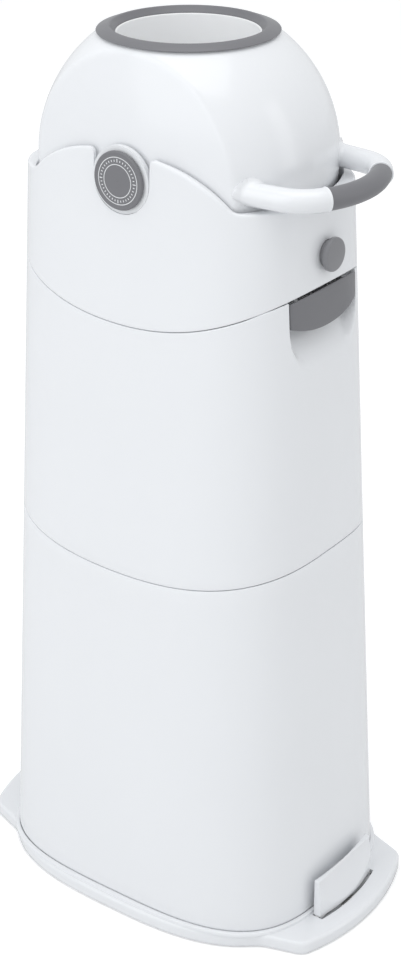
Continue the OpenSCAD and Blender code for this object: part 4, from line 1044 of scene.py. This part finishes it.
def clip_slope(z):
    """How far out the clip's hollow front is at a height."""
    top = np.array([-(CLIP_IN_Y + 0.0018), CLIP_TOP])
    foot = np.array([-CLIP_OUT_R - 0.0005, BASE_H + 0.0015])
    run = foot - top
    half = np.linalg.norm(run) / 2
    centre = (top + foot) / 2 + math.sqrt(0.09 ** 2 - half ** 2) * np.array([run[1], -run[0]]) / (2 * half)
    return centre[0] + np.sqrt(0.09 ** 2 - (z - centre[1]) ** 2)


def build_clips():
    pin_low, pin_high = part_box("clip_pins")
    pin_r = 0.0015
    pin_y, pin_z = pin_high.y - pin_r, pin_high.z - pin_r
    barrel_r = 0.0021
    xs = np.linspace(-CLIP_HALF, CLIP_HALF, 61)
    zs = np.linspace(BASE_H - 0.0002, CLIP_TOP, 34)
    for side, name in ((-1, "clip_front"), (1, "clip_rear")):
        rings = []
        for x in xs:
            inner = CLIP_IN_R - CLIP_IN_Y - math.sqrt(CLIP_IN_R ** 2 - x ** 2)
            reach = -math.sqrt(CLIP_OUT_R ** 2 - x ** 2)
            front = [(x, max(reach, clip_slope(z)) if z > BASE_H + 0.0015 else reach, z) for z in zs]
            back = [(x, inner, z) for z in zs[::-1]]
            rings.append(np.array(front + back) * [1, -side, 1])
        panel = bevel(loft("panel", rings, along=False, sharp=30), 0.0007, 3, 30)
        pieces = [apply_modifiers(panel)]
        for x0, x1 in ((-CLIP_HALF, -0.008), (0.008, CLIP_HALF)):
            pieces.append(rod_x("barrel", barrel_r, x0, x1, side * pin_y, pin_z))
        for x in (-0.035, -0.011, 0.011, 0.035):
            y0, y1 = sorted((side * (pin_y - barrel_r), side * (pin_y + 0.0004)))
            pieces.append(box("web", (x - 0.0012, y0, pin_z), (x + 0.0012, y1, BASE_H + 0.001)))
        tooth = [(CLIP_IN_Y + 0.002, 0.028), (hd(0.028) - 0.0016, 0.028), (hd(0.028) - 0.0016, 0.0295),
                 (CLIP_IN_Y + 0.002, 0.033)]
        ends = [np.array([(x, side * y, z) for y, z in tooth]) for x in (-0.012, 0.012)]
        pieces.append(loft("tooth", ends, along=False))
        finish_piece(joined(name + "_cover", pieces, 35), WHITE, name, [name])


# Nodes shown as they were packed

STEEL_NODES = ("clip_pins", "clip_springs", "latch_pin", "latch_springs", "hinge_pin", "cradle_screws", "button_spring",
               "pivot_screws", "drum_screws")
RUBBER_NODES = ("rubber_feet", "drum_seal", "piston_seals")
# The piston parts deep in the chute take the lighter white, whose extra lightness is painted light.
PAINTED_LIGHT_NODES = ("piston_cup", "piston_cover")


def dress_nodes():
    """Materials for the nodes that are shown as they were packed."""
    for name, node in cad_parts.items():
        look = WHITE_FLAT
        if name in STEEL_NODES:
            look = STEEL
        elif name in RUBBER_NODES:
            look = RUBBER
        elif name in PAINTED_LIGHT_NODES:
            look = WHITE_PAINTED_LIGHT
        node.data.materials.clear()
        node.data.materials.append(look)


# Floor, light and camera

def camera_only(nodes, links):
    path = nodes.new("ShaderNodeLightPath")
    return path.outputs["Is Camera Ray"]


def build_stage():
    bpy.ops.mesh.primitive_circle_add(vertices=96, radius=9, fill_type="NGON", location=(0, 0, 0))
    floor = bpy.context.object
    floor.name = "studio_floor"
    material = bpy.data.materials.new("studio_floor_white")
    material.use_nodes = True
    nodes, links = material.node_tree.nodes, material.node_tree.links
    shader = nodes["Principled BSDF"]
    shader.inputs["Base Color"].default_value = (0.82, 0.82, 0.82, 1)
    shader.inputs["Roughness"].default_value = 0.9
    shader.inputs["Emission Color"].default_value = (1, 1, 1, 1)
    lift = nodes.new("ShaderNodeMath")
    lift.operation = "MULTIPLY"
    lift.inputs[1].default_value = FLOOR_LIFT
    links.new(camera_only(nodes, links), lift.inputs[0])
    links.new(lift.outputs[0], shader.inputs["Emission Strength"])
    floor.data.materials.append(material)


def build_world():
    world = bpy.data.worlds.new("studio")
    bpy.context.scene.world = world
    world.use_nodes = True
    nodes, links = world.node_tree.nodes, world.node_tree.links
    room = nodes["Background"]
    room.inputs["Color"].default_value = (0.97, 0.985, 1, 1)
    room.inputs["Strength"].default_value = ROOM_LIGHT
    backdrop = nodes.new("ShaderNodeBackground")
    backdrop.inputs["Color"].default_value = (1, 1, 1, 1)
    backdrop.inputs["Strength"].default_value = 1
    mix = nodes.new("ShaderNodeMixShader")
    links.new(camera_only(nodes, links), mix.inputs["Fac"])
    links.new(room.outputs["Background"], mix.inputs[1])
    links.new(backdrop.outputs["Background"], mix.inputs[2])
    links.new(mix.outputs["Shader"], nodes["World Output"].inputs["Surface"])


def lamp(name, place, target, size, watts, colour=(1, 1, 1)):
    data = bpy.data.lights.new(name, "AREA")
    data.shape = "RECTANGLE"
    data.size, data.size_y = size
    data.energy = watts
    data.color = colour
    obj = bpy.data.objects.new(name, data)
    obj.location = place
    aim = Vector(target) - Vector(place)
    obj.rotation_euler = aim.to_track_quat("-Z", "Y").to_euler()
    bpy.context.scene.collection.objects.link(obj)


def build_lights():
    middle = (0, 0, 0.4)
    lamp("window_left", (-1.9, 0.5, 1.3), middle, (1.6, 2.2), LEFT_WATTS, (0.97, 0.985, 1))
    lamp("overhead", (-0.2, -0.2, 2.3), middle, (1.5, 1.5), TOP_WATTS)
    lamp("front_strip", (0.9, -1.9, 1.0), (0, 0, 0.45), (0.5, 1.8), FRONT_WATTS)


def build_camera():
    data = bpy.data.cameras.new("view")
    data.sensor_width = 36
    data.lens = 73.43
    data.shift_x = -0.01804
    data.shift_y = -0.01819
    camera = bpy.data.objects.new("view", data)
    camera.location = (-1.09083, -0.81777, 1.03007)
    camera.rotation_euler = (math.radians(63.75), 0, math.radians(-54))
    bpy.context.scene.collection.objects.link(camera)
    bpy.context.scene.camera = camera


FLOOR_LIFT = 0.35
ROOM_LIGHT = 0.78
LEFT_WATTS = 11.5
TOP_WATTS = 9
FRONT_WATTS = 2.6

build_lower_body()
build_upper_body()
build_lid()
build_drum()
build_mouth_rings()
build_chute()
build_discs()
build_handle()
build_button()
build_latch()
build_small_body_parts()
build_base()
build_base_underside()
build_clips()
dress_nodes()
build_stage()
build_world()
build_lights()
build_camera()
bpy.context.scene.view_settings.view_transform = "Standard"

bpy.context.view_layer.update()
